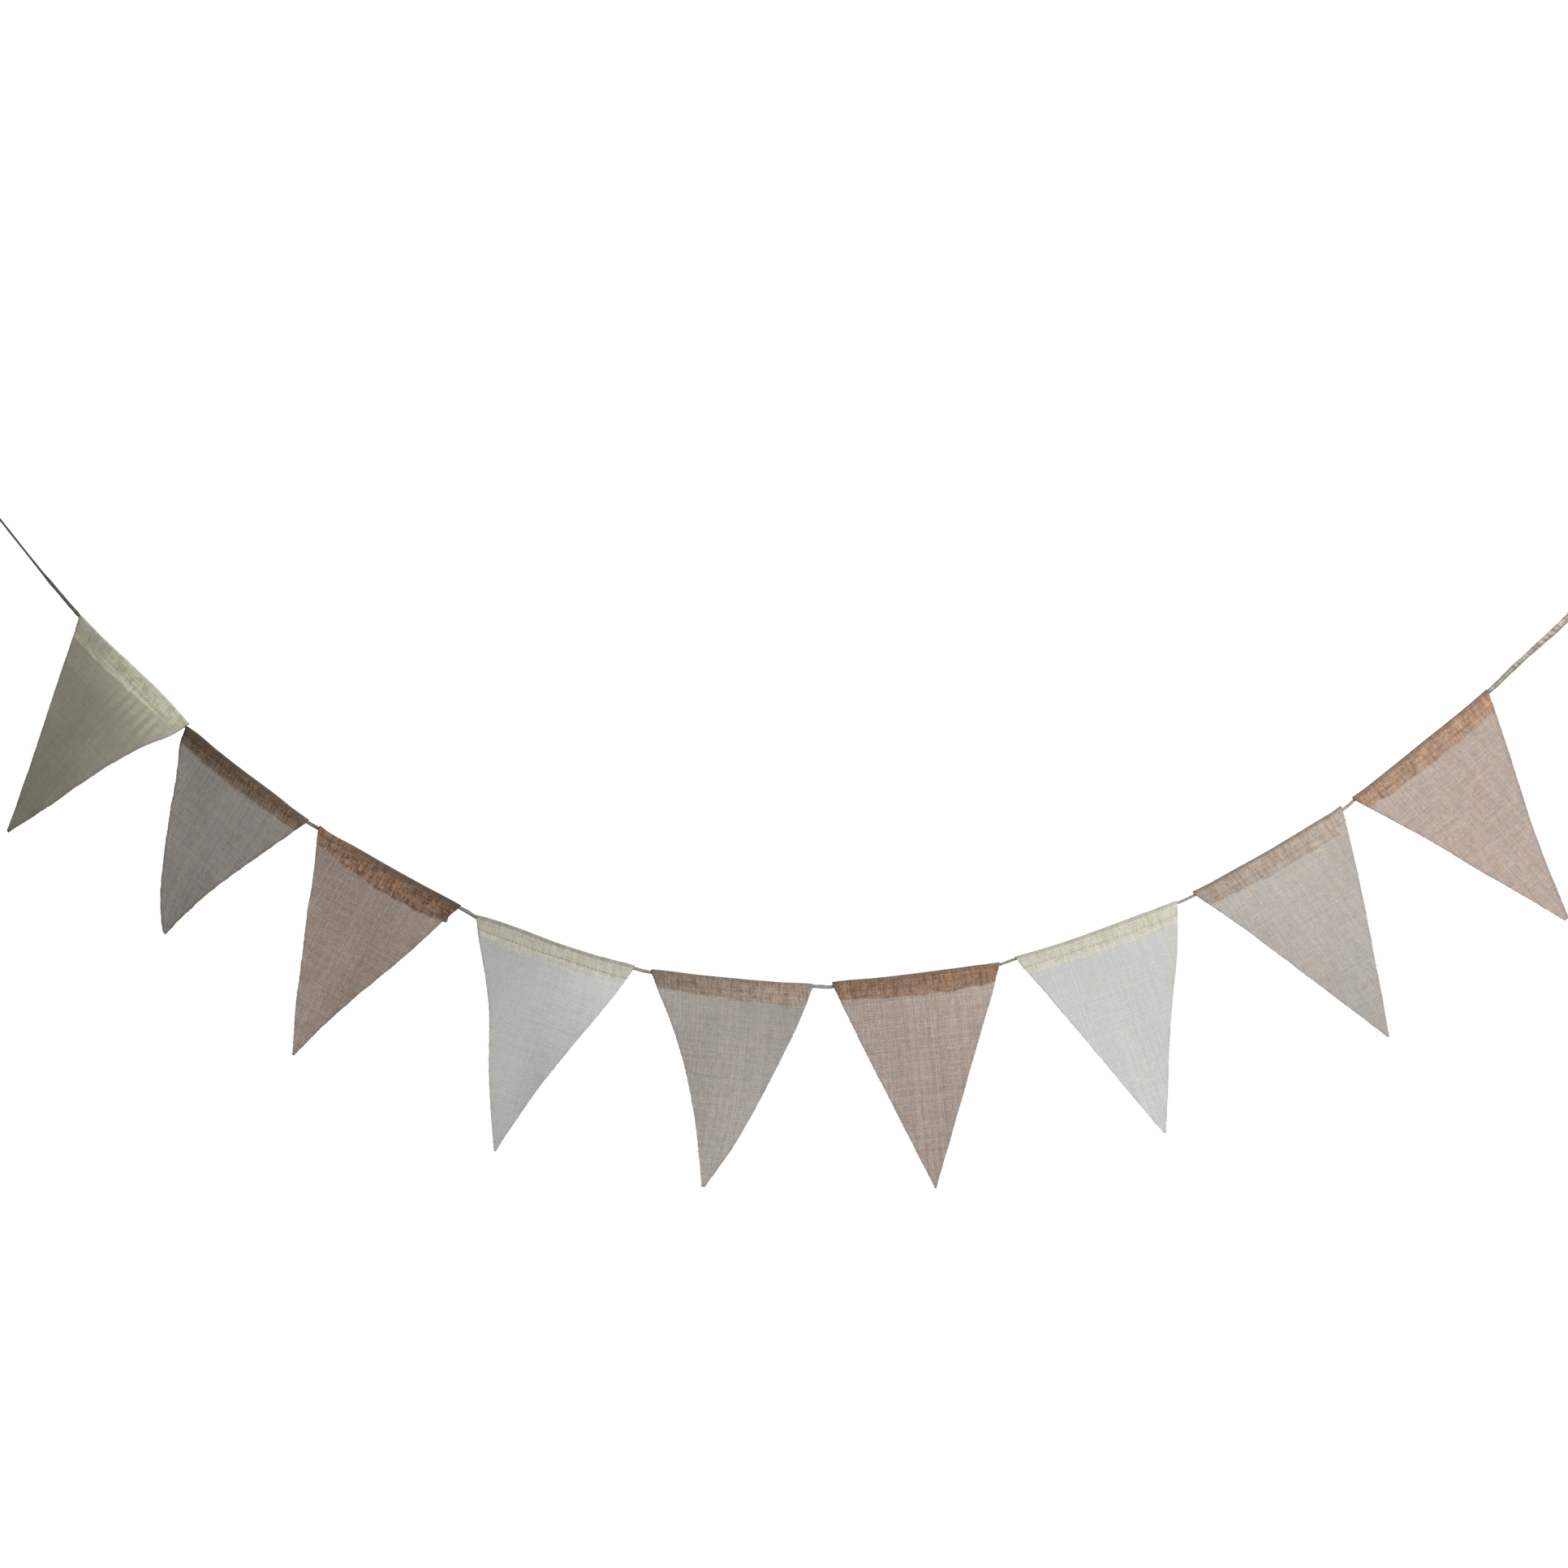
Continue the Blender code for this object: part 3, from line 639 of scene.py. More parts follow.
class Pennant:
    """One pennant's numbers and its cloth as a surface of s across and t down."""

    def __init__(self, row, flap, sides, fold, sewing, shade, line, seed):
        self.row = row
        self.flap = flap
        self.sides = sides
        self.fold = fold
        self.sewing = sewing
        self.shade = shade
        self.line = line
        self.seed = seed

    def random(self, thing):
        """A fresh row of seeded random draws for one thing on this pennant."""
        return np.random.default_rng(self.seed + SEED_STEPS[thing])

    def ripple(self, s, t):
        """How far the cloth stands back at s, t: the sum of four things.

        Long soft waves grow downwards. Small puckers along the stitches die out within a few millimetres. A
        band of slanting creases lies under the hem, the product of waves in two directions. The long sides
        roll a little.
        """
        rng = self.random("ripple")
        slant = rng.uniform(-SOFT_WAVE_SLANT, SOFT_WAVE_SLANT, 2)
        soft = waves(rng, s + slant[0] * t, "soft across") + waves(rng, t + slant[1] * s, "soft down")
        soft = soft * self.sewing["ripple"] * smooth_step((t - BELOW_HEM) / SOFT_WAVE_RAMP)
        pucker = waves(rng, s, "pucker") * np.exp(-(((t - self.seam(s)) / PUCKER_REACH) ** 2))
        creased = self.random("creases")
        creases = waves(creased, s + 0.9 * t, "crease across") * waves(creased, t - 0.4 * s, "crease down")
        creases = creases * smooth_step((t - BELOW_HEM) / CREASE_RAMP)
        creases = creases * (1.0 - smooth_step((t - CREASE_FADE) / CREASE_FADE))
        inside = np.maximum(half_width(self.row, t) - np.abs(s), 0.0)
        roll = np.exp(-inside / SIDE_ROLL_REACH) * (waves(rng, t, "side roll") - 0.15)
        return soft + pucker + self.sewing["crumple"] * creases + roll * smooth_step((t - 16.0) / 20.0)

    def seam(self, s):
        """Depth of the stitches at s: a straight line from one end to the other that wanders a little."""
        part = s / self.row["width"] + 0.5
        depth = self.sewing["seam_left"] + (self.sewing["seam_right"] - self.sewing["seam_left"]) * part
        return depth + waves(self.random("seam"), s, "seam")

    def raw_flap(self, u):
        """Depth of the flap's raw edge at u from -1 to 1 across, with its wander."""
        wander = waves(self.random("flap"), u * 0.5 * self.row["width"], "raw flap")
        return flap_depth(self.flap, u) + 0.6 * self.sewing["flap_wave"] * wander

    def place(self, s, t, n):
        """World position at s, t and n behind the cloth's plane, with the ripple and the fold's rise."""
        across = np.clip(2.0 * s / self.row["width"], -1.0, 1.0)
        rise = curve_through(across, FOLD_PLACES, self.fold) * (1.0 - smooth_step(t / STITCH_DEPTH))
        return cloth_surface(self.row, self.line, s, t - rise, n + self.ripple(s, t))

    def stand_out(self, u, t):
        """How far its sides' shapes move the cloth to the right, at u from -1 to 1 across and t down."""
        part = np.clip(t / self.row["depth"], 0.0, 1.0)
        left, right = (curve_through(part, SIDE_PARTS, side) for side in self.sides)
        return np.where(u < 0.0, -left, right) * np.abs(u)

    def grid(self):
        """The folded cloth's middle surface: points, distance across and along the cut, and the attributes.

        The rows run from the flap's raw edge up behind the cord, over it, down in front and on to the tip.
        The distance along the cut is 0 at the top of the fold, positive in front and negative behind.
        """
        u = np.linspace(-1.0, 1.0, COLUMNS + 1)[None, :]
        flap = self.raw_flap(u)
        low = STITCH_DEPTH + np.linspace(1.0, 0.0, FLAP_GRID_ROWS)[:, None] * (flap - STITCH_DEPTH)
        high = STITCH_DEPTH * np.linspace(1.0, 0.0, HEM_GRID_ROWS + 1)[1:-1, None] + 0.0 * u
        behind = np.concatenate((low, high))
        arc = np.linspace(0.0, math.pi, FOLD_GRID_ROWS)[:, None] + 0.0 * u
        front = STITCH_DEPTH * np.linspace(0.0, 1.0, HEM_GRID_ROWS + 1)[1:, None] + 0.0 * u
        depth = self.row["depth"]
        body = np.linspace(STITCH_DEPTH, depth, BODY_GRID_ROWS + 1)[1:, None] + 0.0 * u
        t = np.concatenate((behind, -FOLD_RADIUS * np.sin(arc), front, body))
        back_rows, fold_rows = len(behind), len(arc)

        spread = LAYER_OFFSET + (FOLD_RADIUS - LAYER_OFFSET) * (1.0 - smooth_step(t / STITCH_DEPTH))
        sign = np.where(np.arange(len(t)) < back_rows, 1.0, -1.0)[:, None]
        n = spread * sign
        n[back_rows:back_rows + fold_rows] = FOLD_RADIUS * np.cos(arc)
        rng = self.random("cloth")
        lift = FLAP_LIFT + waves(rng, u * 0.5 * self.row["width"], "flap lift")
        free = smooth_step((t[:back_rows] - STITCH_DEPTH) / FLAP_LIFT_RAMP)
        n[:back_rows] += np.maximum(lift, 0.0) * free

        half = half_width(self.row, t)
        s = u * half
        left, right = waves(rng, t[:, :1], "side"), waves(rng, t[:, :1], "side")
        wave = np.where(u < 0.0, left, right) * self.sewing["side_wave"] * np.abs(u) ** SIDE_WAVE_POWER
        s = s + wave * np.clip(half / 10.0, 0.0, 1.0) * (t > 0.0) + self.stand_out(u, t)
        lowest = smooth_step((behind - STITCH_DEPTH) / (flap - STITCH_DEPTH)) ** 2
        s[:back_rows] += self.flap["corner"] * lowest * np.clip(4.0 * u - 3.0, 0.0, 1.0)

        quarter = 0.5 * math.pi * FOLD_RADIUS
        along = (quarter + t) * -sign
        along[back_rows:back_rows + fold_rows] = FOLD_RADIUS * (arc - 0.5 * math.pi)
        hem = t - flap
        hem[back_rows:back_rows + fold_rows] = -flap
        raw = (half - np.abs(u) * half) * math.cos(math.atan2(0.5 * self.row["width"], depth))
        raw[:back_rows] = np.minimum(raw[:back_rows], np.maximum(-hem[:back_rows], 0.0))
        raw = np.minimum(raw, np.maximum(depth - t, 0.0) + FRAY)
        uv = np.stack((s, along), axis=-1) * MM
        return self.place(s, t, n), uv, {"hem": hem, "raw": raw}

    def stitches(self):
        """Two rows of short arched stitches, one on each face of the hem, as tubes that swell in the middle.

        Along each stitch the tube's radius follows a half ellipse and its middle rises off the cloth by a
        parabola; the row behind is half a stitch out of step with the row in front.
        """
        rng = self.random("stitches")
        reach = 0.5 * self.row["width"] - STITCH_INSET
        count = int(2.0 * reach / STITCH_PITCH)
        start = np.linspace(-reach, reach - STITCH_PITCH, count) + 0.5 * STITCH_PITCH
        middles = np.concatenate((start, start[:-1] + 0.5 * STITCH_PITCH))
        face = np.concatenate((np.full(len(start), -1.0), np.full(len(start) - 1, 1.0)))
        tilt = rng.normal(0.0, 0.05, len(middles))
        length = STITCH_LENGTH * (1.0 + rng.normal(0.0, 0.04, len(middles)))
        a = np.linspace(-1.0, 1.0, STITCH_RINGS)[None, :, None]
        b = ring_angles(STITCH_SIDES)
        radius = STITCH_RADIUS * np.sqrt(1.0 - (0.94 * a) ** 2)
        s = middles[:, None, None] + 0.5 * length[:, None, None] * a + 0.0 * b
        t = self.seam(s) + tilt[:, None, None] * a * length[:, None, None] + radius * np.cos(b)
        rise = LAYER_OFFSET + 0.5 * CLOTH_THICKNESS + STITCH_RISE - STITCH_ARCH * a * a
        n = face[:, None, None] * (rise + radius * np.sin(b))
        return self.place(s, t, n), len(middles)

    def loose_threads(self):
        """Short ends of thread that stand out of the raw edges, as thin tubes along curved lines.

        Each line starts just inside the edge and leaves it at its own angle, turning evenly; the tube thins
        towards its end.
        """
        rng = self.random("threads")
        count = LOOSE_THREAD_COUNT
        on_hem = np.arange(count) < count // 3
        side = np.where(rng.uniform(size=count) < 0.5, -1.0, 1.0)
        depth = rng.uniform(20.0, self.row["depth"] - 2.0, count)
        across = rng.uniform(-0.97, 0.97, count)
        edge = side * (half_width(self.row, depth) - 0.5) + self.stand_out(side, depth)
        s0 = np.where(on_hem, across * 0.5 * self.row["width"] * HEM_THREAD_REACH, edge)
        t0 = np.where(on_hem, self.raw_flap(across * HEM_THREAD_REACH) - 0.5, depth)
        n0 = np.where(on_hem, LAYER_OFFSET + 0.3, -LAYER_OFFSET)
        heading = np.where(on_hem, rng.normal(0.0, 0.5, count), side * rng.uniform(0.5, 1.35, count))
        bend = rng.normal(0.0, 0.16, count)
        back = np.where(on_hem, rng.uniform(0.05, 0.25, count), rng.normal(0.0, 0.22, count))
        length = rng.gamma(2.2, 0.9, count) + 0.8
        a = np.linspace(0.0, 1.0, LOOSE_THREAD_RINGS)[None, :]
        turned = heading[:, None] + bend[:, None] * length[:, None] * a
        step = length[:, None] / (LOOSE_THREAD_RINGS - 1)
        s = s0[:, None] + np.cumsum(np.sin(turned) * step, axis=1)
        t = t0[:, None] + np.cumsum(np.cos(turned) * step, axis=1)
        n = n0[:, None] + back[:, None] * length[:, None] * a * a
        b = ring_angles(LOOSE_THREAD_SIDES)
        radius = (LOOSE_THREAD_RADIUS * (1.0 - LOOSE_THREAD_TAPER * a))[:, :, None]
        s_ring = s[:, :, None] + radius * np.cos(b) * np.cos(turned)[:, :, None]
        t_ring = t[:, :, None] - radius * np.cos(b) * np.sin(turned)[:, :, None]
        n_ring = n[:, :, None] + radius * np.sin(b)
        return self.place(s_ring, t_ring, n_ring), count


def cord_tube(line, half, along):
    """Rings of the braided cord: an ellipse as wide as the cord and never thicker than CORD_FLAT_HALF twice.

    On it stands a low braid: the product of two cosines that wind round the cord in opposite ways. The two
    ends draw in to a blunt point.
    """
    side = sideways(directions(line))
    b = ring_angles(CORD_SIDES)[None, :]
    uneven = 1.0 + waves(np.random.default_rng(FIRST_SEED - 1), along, "cord")
    pitch = BRAID_PITCH + BRAID_PITCH_GROWTH * (half - 1.0)
    wind = TURN * np.cumsum(CORD_RING_STEP / pitch)[:, None]
    braid = np.cos(CORD_STRANDS * (b + wind)) * np.cos(CORD_STRANDS * (b - wind))
    end = np.clip(np.minimum(along, along[-1] - along) / CORD_BLUNT_END, 0.0, 1.0)
    blunt = np.sqrt(end * (2.0 - end)) * 0.92 + 0.08
    wide = (half * uneven * blunt)[:, None] * (1.0 + BRAID_AT_SIDES * braid)
    thick = (np.minimum(half, CORD_FLAT_HALF) * uneven * blunt)[:, None] * (1.0 + BRAID_ON_FACES * braid)
    across = wide * np.cos(b)
    x = line[:, :1] + across * side[:, :1]
    z = line[:, 1:] + across * side[:, 1:]
    y = thick * np.sin(b)
    uv = np.stack((b / TURN + 0.0 * along[:, None], along[:, None] * MM + 0.0 * b), axis=-1)
    return np.stack((x, y, z), axis=-1), uv


def binding_tube(base, outward, side, apart, radius):
    """A thread wound round both strands behind a loop: a tube along a tight helix on an oval."""
    turns = np.linspace(0.0, BINDING_TURNS, BINDING_TURNS * BINDING_RINGS_A_TURN + 1)
    angle = TURN * turns
    wide = 0.5 * apart + radius + BINDING_SPREAD * BINDING_THREAD
    thick = min(radius, CORD_FLAT_HALF) + BINDING_SPREAD * BINDING_THREAD
    power = 2.0 / BINDING_ROUNDNESS
    oval_w = np.sign(np.cos(angle)) * np.abs(np.cos(angle)) ** power * wide
    oval_y = np.sign(np.sin(angle)) * np.abs(np.sin(angle)) ** power * thick
    back = -BINDING_START - 2.0 * BINDING_THREAD * turns
    plane = np.array(base)[None] + back[:, None] * outward + (oval_w - 0.5 * apart)[:, None] * side
    centre = np.stack((plane[:, 0], oval_y, plane[:, 1]), axis=1)
    tangent = directions(centre)
    axis = np.array((outward[0], 0.0, outward[1]))
    first = axis - (tangent @ axis)[:, None] * tangent
    first /= np.linalg.norm(first, axis=1)[:, None]
    second = np.cross(tangent, first)
    b = ring_angles(BINDING_SIDES)[None, :, None]
    rings = centre[:, None] + BINDING_THREAD * (np.cos(b) * first[:, None] + np.sin(b) * second[:, None])
    return rings, len(turns)


# Materials

class Value:
    """A number on a socket of a material. Its operators add Math nodes."""

    def __init__(self, maker, socket):
        self.maker = maker
        self.socket = socket

    def math(self, operation, *others):
        """This value and others put through one Math node."""
        return self.maker.node("ShaderNodeMath", {"operation": operation}, dict(enumerate((self, *others))))

    def __add__(self, other):
        return self.math("ADD", other)

    def __sub__(self, other):
        return self.math("SUBTRACT", other)

    def __rsub__(self, other):
        return self.maker.node("ShaderNodeMath", {"operation": "SUBTRACT"}, {0: other, 1: self})

    def __mul__(self, other):
        return self.math("MULTIPLY", other)

    def __truediv__(self, other):
        return self.math("DIVIDE", other)

    def __rtruediv__(self, other):
        return self.maker.node("ShaderNodeMath", {"operation": "DIVIDE"}, {0: other, 1: self})

    def __abs__(self):
        return self.math("ABSOLUTE")

    __radd__ = __add__
    __rmul__ = __mul__


class Finish:
    """A material under construction."""

    def __init__(self, name):
        self.material = bpy.data.materials.new(name)
        self.material.use_nodes = True
        self.tree = self.material.node_tree
        self.tree.nodes.clear()

    def node(self, kind, settings=None, inputs=None, output=0):
        """A node with its settings and its sockets' values or links, as the value on one of its outputs."""
        made = self.tree.nodes.new(kind)
        for key, value in (settings or {}).items():
            setattr(made, key, value)
        for key, value in (inputs or {}).items():
            if isinstance(value, Value):
                self.tree.links.new(value.socket, made.inputs[key])
            else:
                made.inputs[key].default_value = value
        return Value(self, made.outputs[output]) if made.outputs else None

    def attribute(self, name):
        """A number that the piece's mesh carries."""
        return self.node("ShaderNodeAttribute", {"attribute_name": name}, output="Fac")

    def cut_map(self):
        """The two numbers of the piece's own map."""
        cut = self.node("ShaderNodeUVMap", {"uv_map": "cut"})
        return [self.node("ShaderNodeSeparateXYZ", inputs={0: cut}, output=k) for k in (0, 1)]

    def noise(self, place, scale=1.0, detail=2.0, roughness=0.5):
        """Soft noise between 0 and 1 at a place, given as a vector or as its three numbers."""
        if isinstance(place, tuple):
            place = self.node("ShaderNodeCombineXYZ", inputs=dict(enumerate(place)))
        return self.node(
            "ShaderNodeTexNoise", {"noise_dimensions": "3D"},
            {"Vector": place, "Scale": scale, "Detail": detail, "Roughness": roughness},
        )

    def random(self, value):
        """A random number for each whole number."""
        return self.node("ShaderNodeTexWhiteNoise", {"noise_dimensions": "1D"}, {"W": value})

    def mix(self, factor, a, b, blend="MIX"):
        """Two colours mixed or blended."""
        a = a if isinstance(a, Value) else (*a, 1.0)
        b = b if isinstance(b, Value) else (*b, 1.0)
        return self.node(
            "ShaderNodeMix", {"data_type": "RGBA", "blend_type": blend}, {0: factor, 6: a, 7: b}, output=2
        )

    def grey(self, value):
        """A number as a grey colour."""
        return self.node("ShaderNodeCombineColor", inputs={0: value, 1: value, 2: value})

    def ramp(self, value, low, high, out_low=0.0, out_high=1.0):
        """A value from low to high brought to another range and held there."""
        return self.node(
            "ShaderNodeMapRange", {"clamp": True},
            {"Value": value, "From Min": low, "From Max": high, "To Min": out_low, "To Max": out_high},
        )

    def bump(self, height, distance, strength):
        """A normal raised by a height."""
        inputs = {"Height": height, "Distance": distance, "Strength": strength}
        return self.node("ShaderNodeBump", inputs=inputs)

    def surface(self, **inputs):
        """The shader itself, with the sockets' values or links, joined to the output."""
        inputs = {key.replace("_", " "): value for key, value in inputs.items()}
        shader = self.node("ShaderNodeBsdfPrincipled", inputs=inputs)
        self.node("ShaderNodeOutputMaterial", inputs={"Surface": shader})
        return self.material


class ClothFinish(Finish):
    """Open plain weave of slubby two-tone thread, denser in colour where the hem lies double, partly as
    painted shade for the light that two layers let through less.

    x and y run across and along the cut in millimetres; raw and hem are the distances inside the raw edges
    and below the flap.
    """

    def __init__(self, name, cloth, look, seed):
        super().__init__(name)
        self.cloth = cloth
        self.look = look
        self.seed = seed
        self.x, self.y = (distance * 1000.0 for distance in self.cut_map())
        self.raw = self.attribute("raw")
        self.hem = self.attribute("hem")

    def cloth_noise(self, kind):
        """One of the noises in CLOTH_NOISE."""
        across, along, step, detail, roughness = CLOTH_NOISE[kind]
        place = (self.x / across, self.y / along, self.seed + step)
        return self.noise(place, detail=detail, roughness=roughness)

    def threads(self, place, other, seed):
        """The threads that lie side by side along place and run along other, both counted in threads.

        A thread's surface is half round across it. Its width swells and thins by slow and quick noise along
        it and by its own number. It ends at its own distance from the cut.
        Returns its number, whether it is there, how round it stands and its tone from about -0.5 to 0.5.
        """
        thread = place.math("FLOOR")
        own = self.random(thread + seed)
        slub = self.noise((thread * 3.7, other * 0.22, seed), detail=1.5)
        fine = self.noise((thread * 5.1, other * 0.9, seed + 9.0), detail=0.0)
        middle = abs(place - thread - 0.5) * 2.0
        width = 0.55 + slub * 0.22 + fine * 0.12 + own * 0.10
        there = middle.math("LESS_THAN", width) * self.raw.math("GREATER_THAN", own * FRAY)
        rounded = 1.0 - (middle / width).math("POWER", 2.0)
        return thread, there, rounded, own * 0.45 + slub * 0.75 + fine * 0.35 - 0.77

    def weave(self):
        """Height of the cloth, whether a thread is there, and the showing thread's own tone.

        Threads lie a pitch apart in both directions and wander a little. Half a cosine along each one carries
        it over and under the crossing threads. The higher thread shows. Where neither thread reaches, the
        cloth is open.
        """
        drift = (self.cloth_noise("wander") - 0.5) * 1.6
        across = self.x / WARP_PITCH + drift
        along = self.y / WEFT_PITCH + drift * 0.8
        warp, warp_there, warp_round, warp_tone = self.threads(across, along, self.seed)
        weft, weft_there, weft_round, weft_tone = self.threads(along, across, self.seed + 57.0)
        warp_over = ((along - 0.5 - warp) * math.pi).math("COSINE") * 0.5
        weft_over = ((across - 0.5 - weft) * math.pi).math("COSINE") * -0.5
        warp_height = (warp_over + warp_round * 0.6 + 2.0) * warp_there
        weft_height = (weft_over + weft_round * 0.6 + 2.0) * weft_there
        on_top = warp_height.math("GREATER_THAN", weft_height)
        tone = warp_tone * on_top + weft_tone * (1.0 - on_top) * WEFT_EVENNESS
        return warp_height.math("MAXIMUM", weft_height), warp_there.math("MAXIMUM", weft_there), tone

    def pattern(self, tone):
        """How light the yarn is from place to place, and where the cloth lies double, both from 0 to 1.

        The light is a sum of the showing thread's tone, of soft patches, and of streaks down and bars across
        the cloth. Blotches and specks come with them in the double hem.
        """
        patch, streak, bar, blotch, speck = (
            self.cloth_noise(kind) - 0.5 for kind in ("patch", "streak", "bar", "blotch", "speck")
        )
        double = self.ramp(self.hem + patch * 2.0, -1.2, 1.2, 1.0, 0.0)
        lines = streak * (0.4 + double * 0.5) + bar * (0.3 + double * (self.look["hem_bars"] - 0.3))
        lines = lines + (blotch * 0.9 + speck * 0.9) * double
        contrast = self.look["weave"] + double * (self.look["hem_weave"] - self.look["weave"])
        return self.ramp(tone * contrast + patch * 0.7 + lines, -0.4, 0.4), double

    def hem_colours(self):
        """The double hem's darker and lighter colour, and that of the fold where the cord shows through it.

        The hem's colour is partly the doubled cloth's own and partly painted shade, for the light that two
        layers let through less. It is made warmer and lighter or darker by its row, and then moved both ways
        by its contrast, the lighter patches towards blue and the darker ones towards red.
        """
        warmth, contrast = self.look["hem_warmth"], self.look["hem_contrast"]
        warm = (1.0, 1.0 - 0.06 * warmth, 1.0 - 0.12 * warmth)
        base = [c * w * self.look["hem_tone"] for c, w in zip(self.cloth["hem"], warm)]
        dark, light = (
            tuple(c * (1.0 + way) * (1.0 + way * k) for c, k in zip(base, LIGHT_PATCH_TINT))
            for way in (-contrast, contrast)
        )
        return dark, light, tuple(0.5 * a + 0.2 * b for a, b in zip(CORD_AND_SHADOW_SEEN_THROUGH, base))

    def colour(self, shade, double):
        """The colour of the yarn: between dark and light by its shade, with the hem's and the fold's over it.

        The fold over the cord, which shows the cord through the cloth with its painted shadow, fades out at
        its reach. The whole is multiplied by an uneven dye, warmer or cooler by noise.
        """
        hem_dark, hem_light, over = self.hem_colours()
        colour = self.mix(shade, self.cloth["dark"], self.cloth["light"])
        # Where the hem lies double its colour takes over: partly the doubled cloth's own, partly painted
        # shade.
        hem_share = double * self.ramp(self.hem, -7.0, -0.5, 1.0, 0.75)
        colour = self.mix(hem_share, colour, self.mix(shade, hem_dark, hem_light))
        # The fold over the cord: the cord seen through the cloth, with its painted shadow in the casing.
        cord_and_painted_shadow = self.ramp(abs(self.y), 3.0, self.look["fold_reach"], self.look["fold_dark"], 0.0)
        cord_and_painted_shadow = cord_and_painted_shadow * self.ramp(self.x, -64.0, -20.0, self.look["fold_left"], 1.0)
        colour = self.mix(cord_and_painted_shadow * self.ramp(shade, 0.2, 0.8, 1.06, 0.88), colour, over)
        dye = self.ramp(self.cloth_noise("dye"), 0.3, 0.7)
        uneven = self.cloth["uneven_dye"]
        warm, cool = ((1.0 + way, 1.0, 1.0 - 1.5 * way) for way in (uneven, -uneven))
        patchy = 0.5 + (dye - 0.5) * (0.5 + double * 0.5)
        return self.mix(1.0, colour, self.mix(patchy, warm, cool), "MULTIPLY")

    def light(self, double):
        """How light the cloth is at each place: a product of even ramps, each with its own share.

        The tone of all of it is partly its own and partly painted light. Painted light runs across and down
        the cloth, just under the hem and along the hem. Along its raw edges the ramp is partly frayed edge
        and partly painted shade, over the row of stitches painted shade in their groove, and along the flap's
        raw edge a painted line, a highlight on the pale cloths and shade on the dark ones. Large clouds of
        noise vary its own tone.
        """
        look, cloud, down = self.look, self.look["cloud"], 0.47 * self.look["down"]
        # Painted light: the tone is partly the cloth's own and partly painted light; the ramps across and
        # down are painted light.
        light = self.ramp(self.cloth_noise("cloud"), 0.3, 0.7, 1.0 - cloud, 1.0 + cloud) * look["tone"]
        light = light * self.ramp(self.x, -50.0, 50.0, 1.0 - look["across"], 1.0 + look["across"])
        light = light * self.ramp(self.y, 10.0, 180.0, 1.0 - down, 1.0 + down)
        # Long raw edges darker: partly frayed edge, partly painted shade.
        edge = self.ramp(self.x, -1.5, 1.5, look["edge_left"], look["edge_right"])
        light = light * self.ramp(self.raw, 0.9, 2.8, edge, 1.0)
        # Painted light just below the hem.
        under_hem = self.ramp(self.hem, 6.0, 26.0, look["under_hem"] - 1.0, 0.0)
        # Painted light along the hem, lighter towards one end.
        painted_hem_light_slope = self.ramp(self.x, -60.0, 60.0, -look["hem_across"], look["hem_across"])
        # Painted shade in the groove along the row of stitches.
        seam = self.ramp(abs(abs(self.y) - SEAM_ALONG_CUT), 0.5, 1.5, 0.88, 1.0)
        # A painted line along the flap's raw edge: painted highlight on the pale cloths, painted shade on the
        # dark ones.
        painted_flap_edge_line = self.ramp(abs(self.hem + 1.4), 0.5, 1.8, self.cloth["painted_flap_edge_line"], 1.0)
        light = light * (1.0 + under_hem * (1.0 - double)) * (1.0 + double * painted_hem_light_slope)
        return light * seam * painted_flap_edge_line

    def finished(self):
        """The material: the yarn's colour times its light, with painted shade where the weave lies low."""
        height, there, tone = self.weave()
        shade, double = self.pattern(tone)
        # Painted shade where the weave lies low, in the hollows between the threads.
        light = self.light(double) * self.ramp(height, 1.7, 2.6, 0.62, 1.04)
        colour = self.mix(1.0, self.colour(shade, double), self.grey(light), "MULTIPLY")
        fibre = self.noise((self.x * 4.0, self.y * 4.0, self.seed), detail=2.0)
        return self.surface(
            Base_Color=colour, Roughness=self.ramp(shade, 0.0, 1.0, 0.92, 0.80), Alpha=there,
            Normal=self.bump(height + fibre * 0.35, 0.00022, 0.8),
            Sheen_Weight=0.18, Sheen_Roughness=0.5, Specular_IOR_Level=0.25,
        )


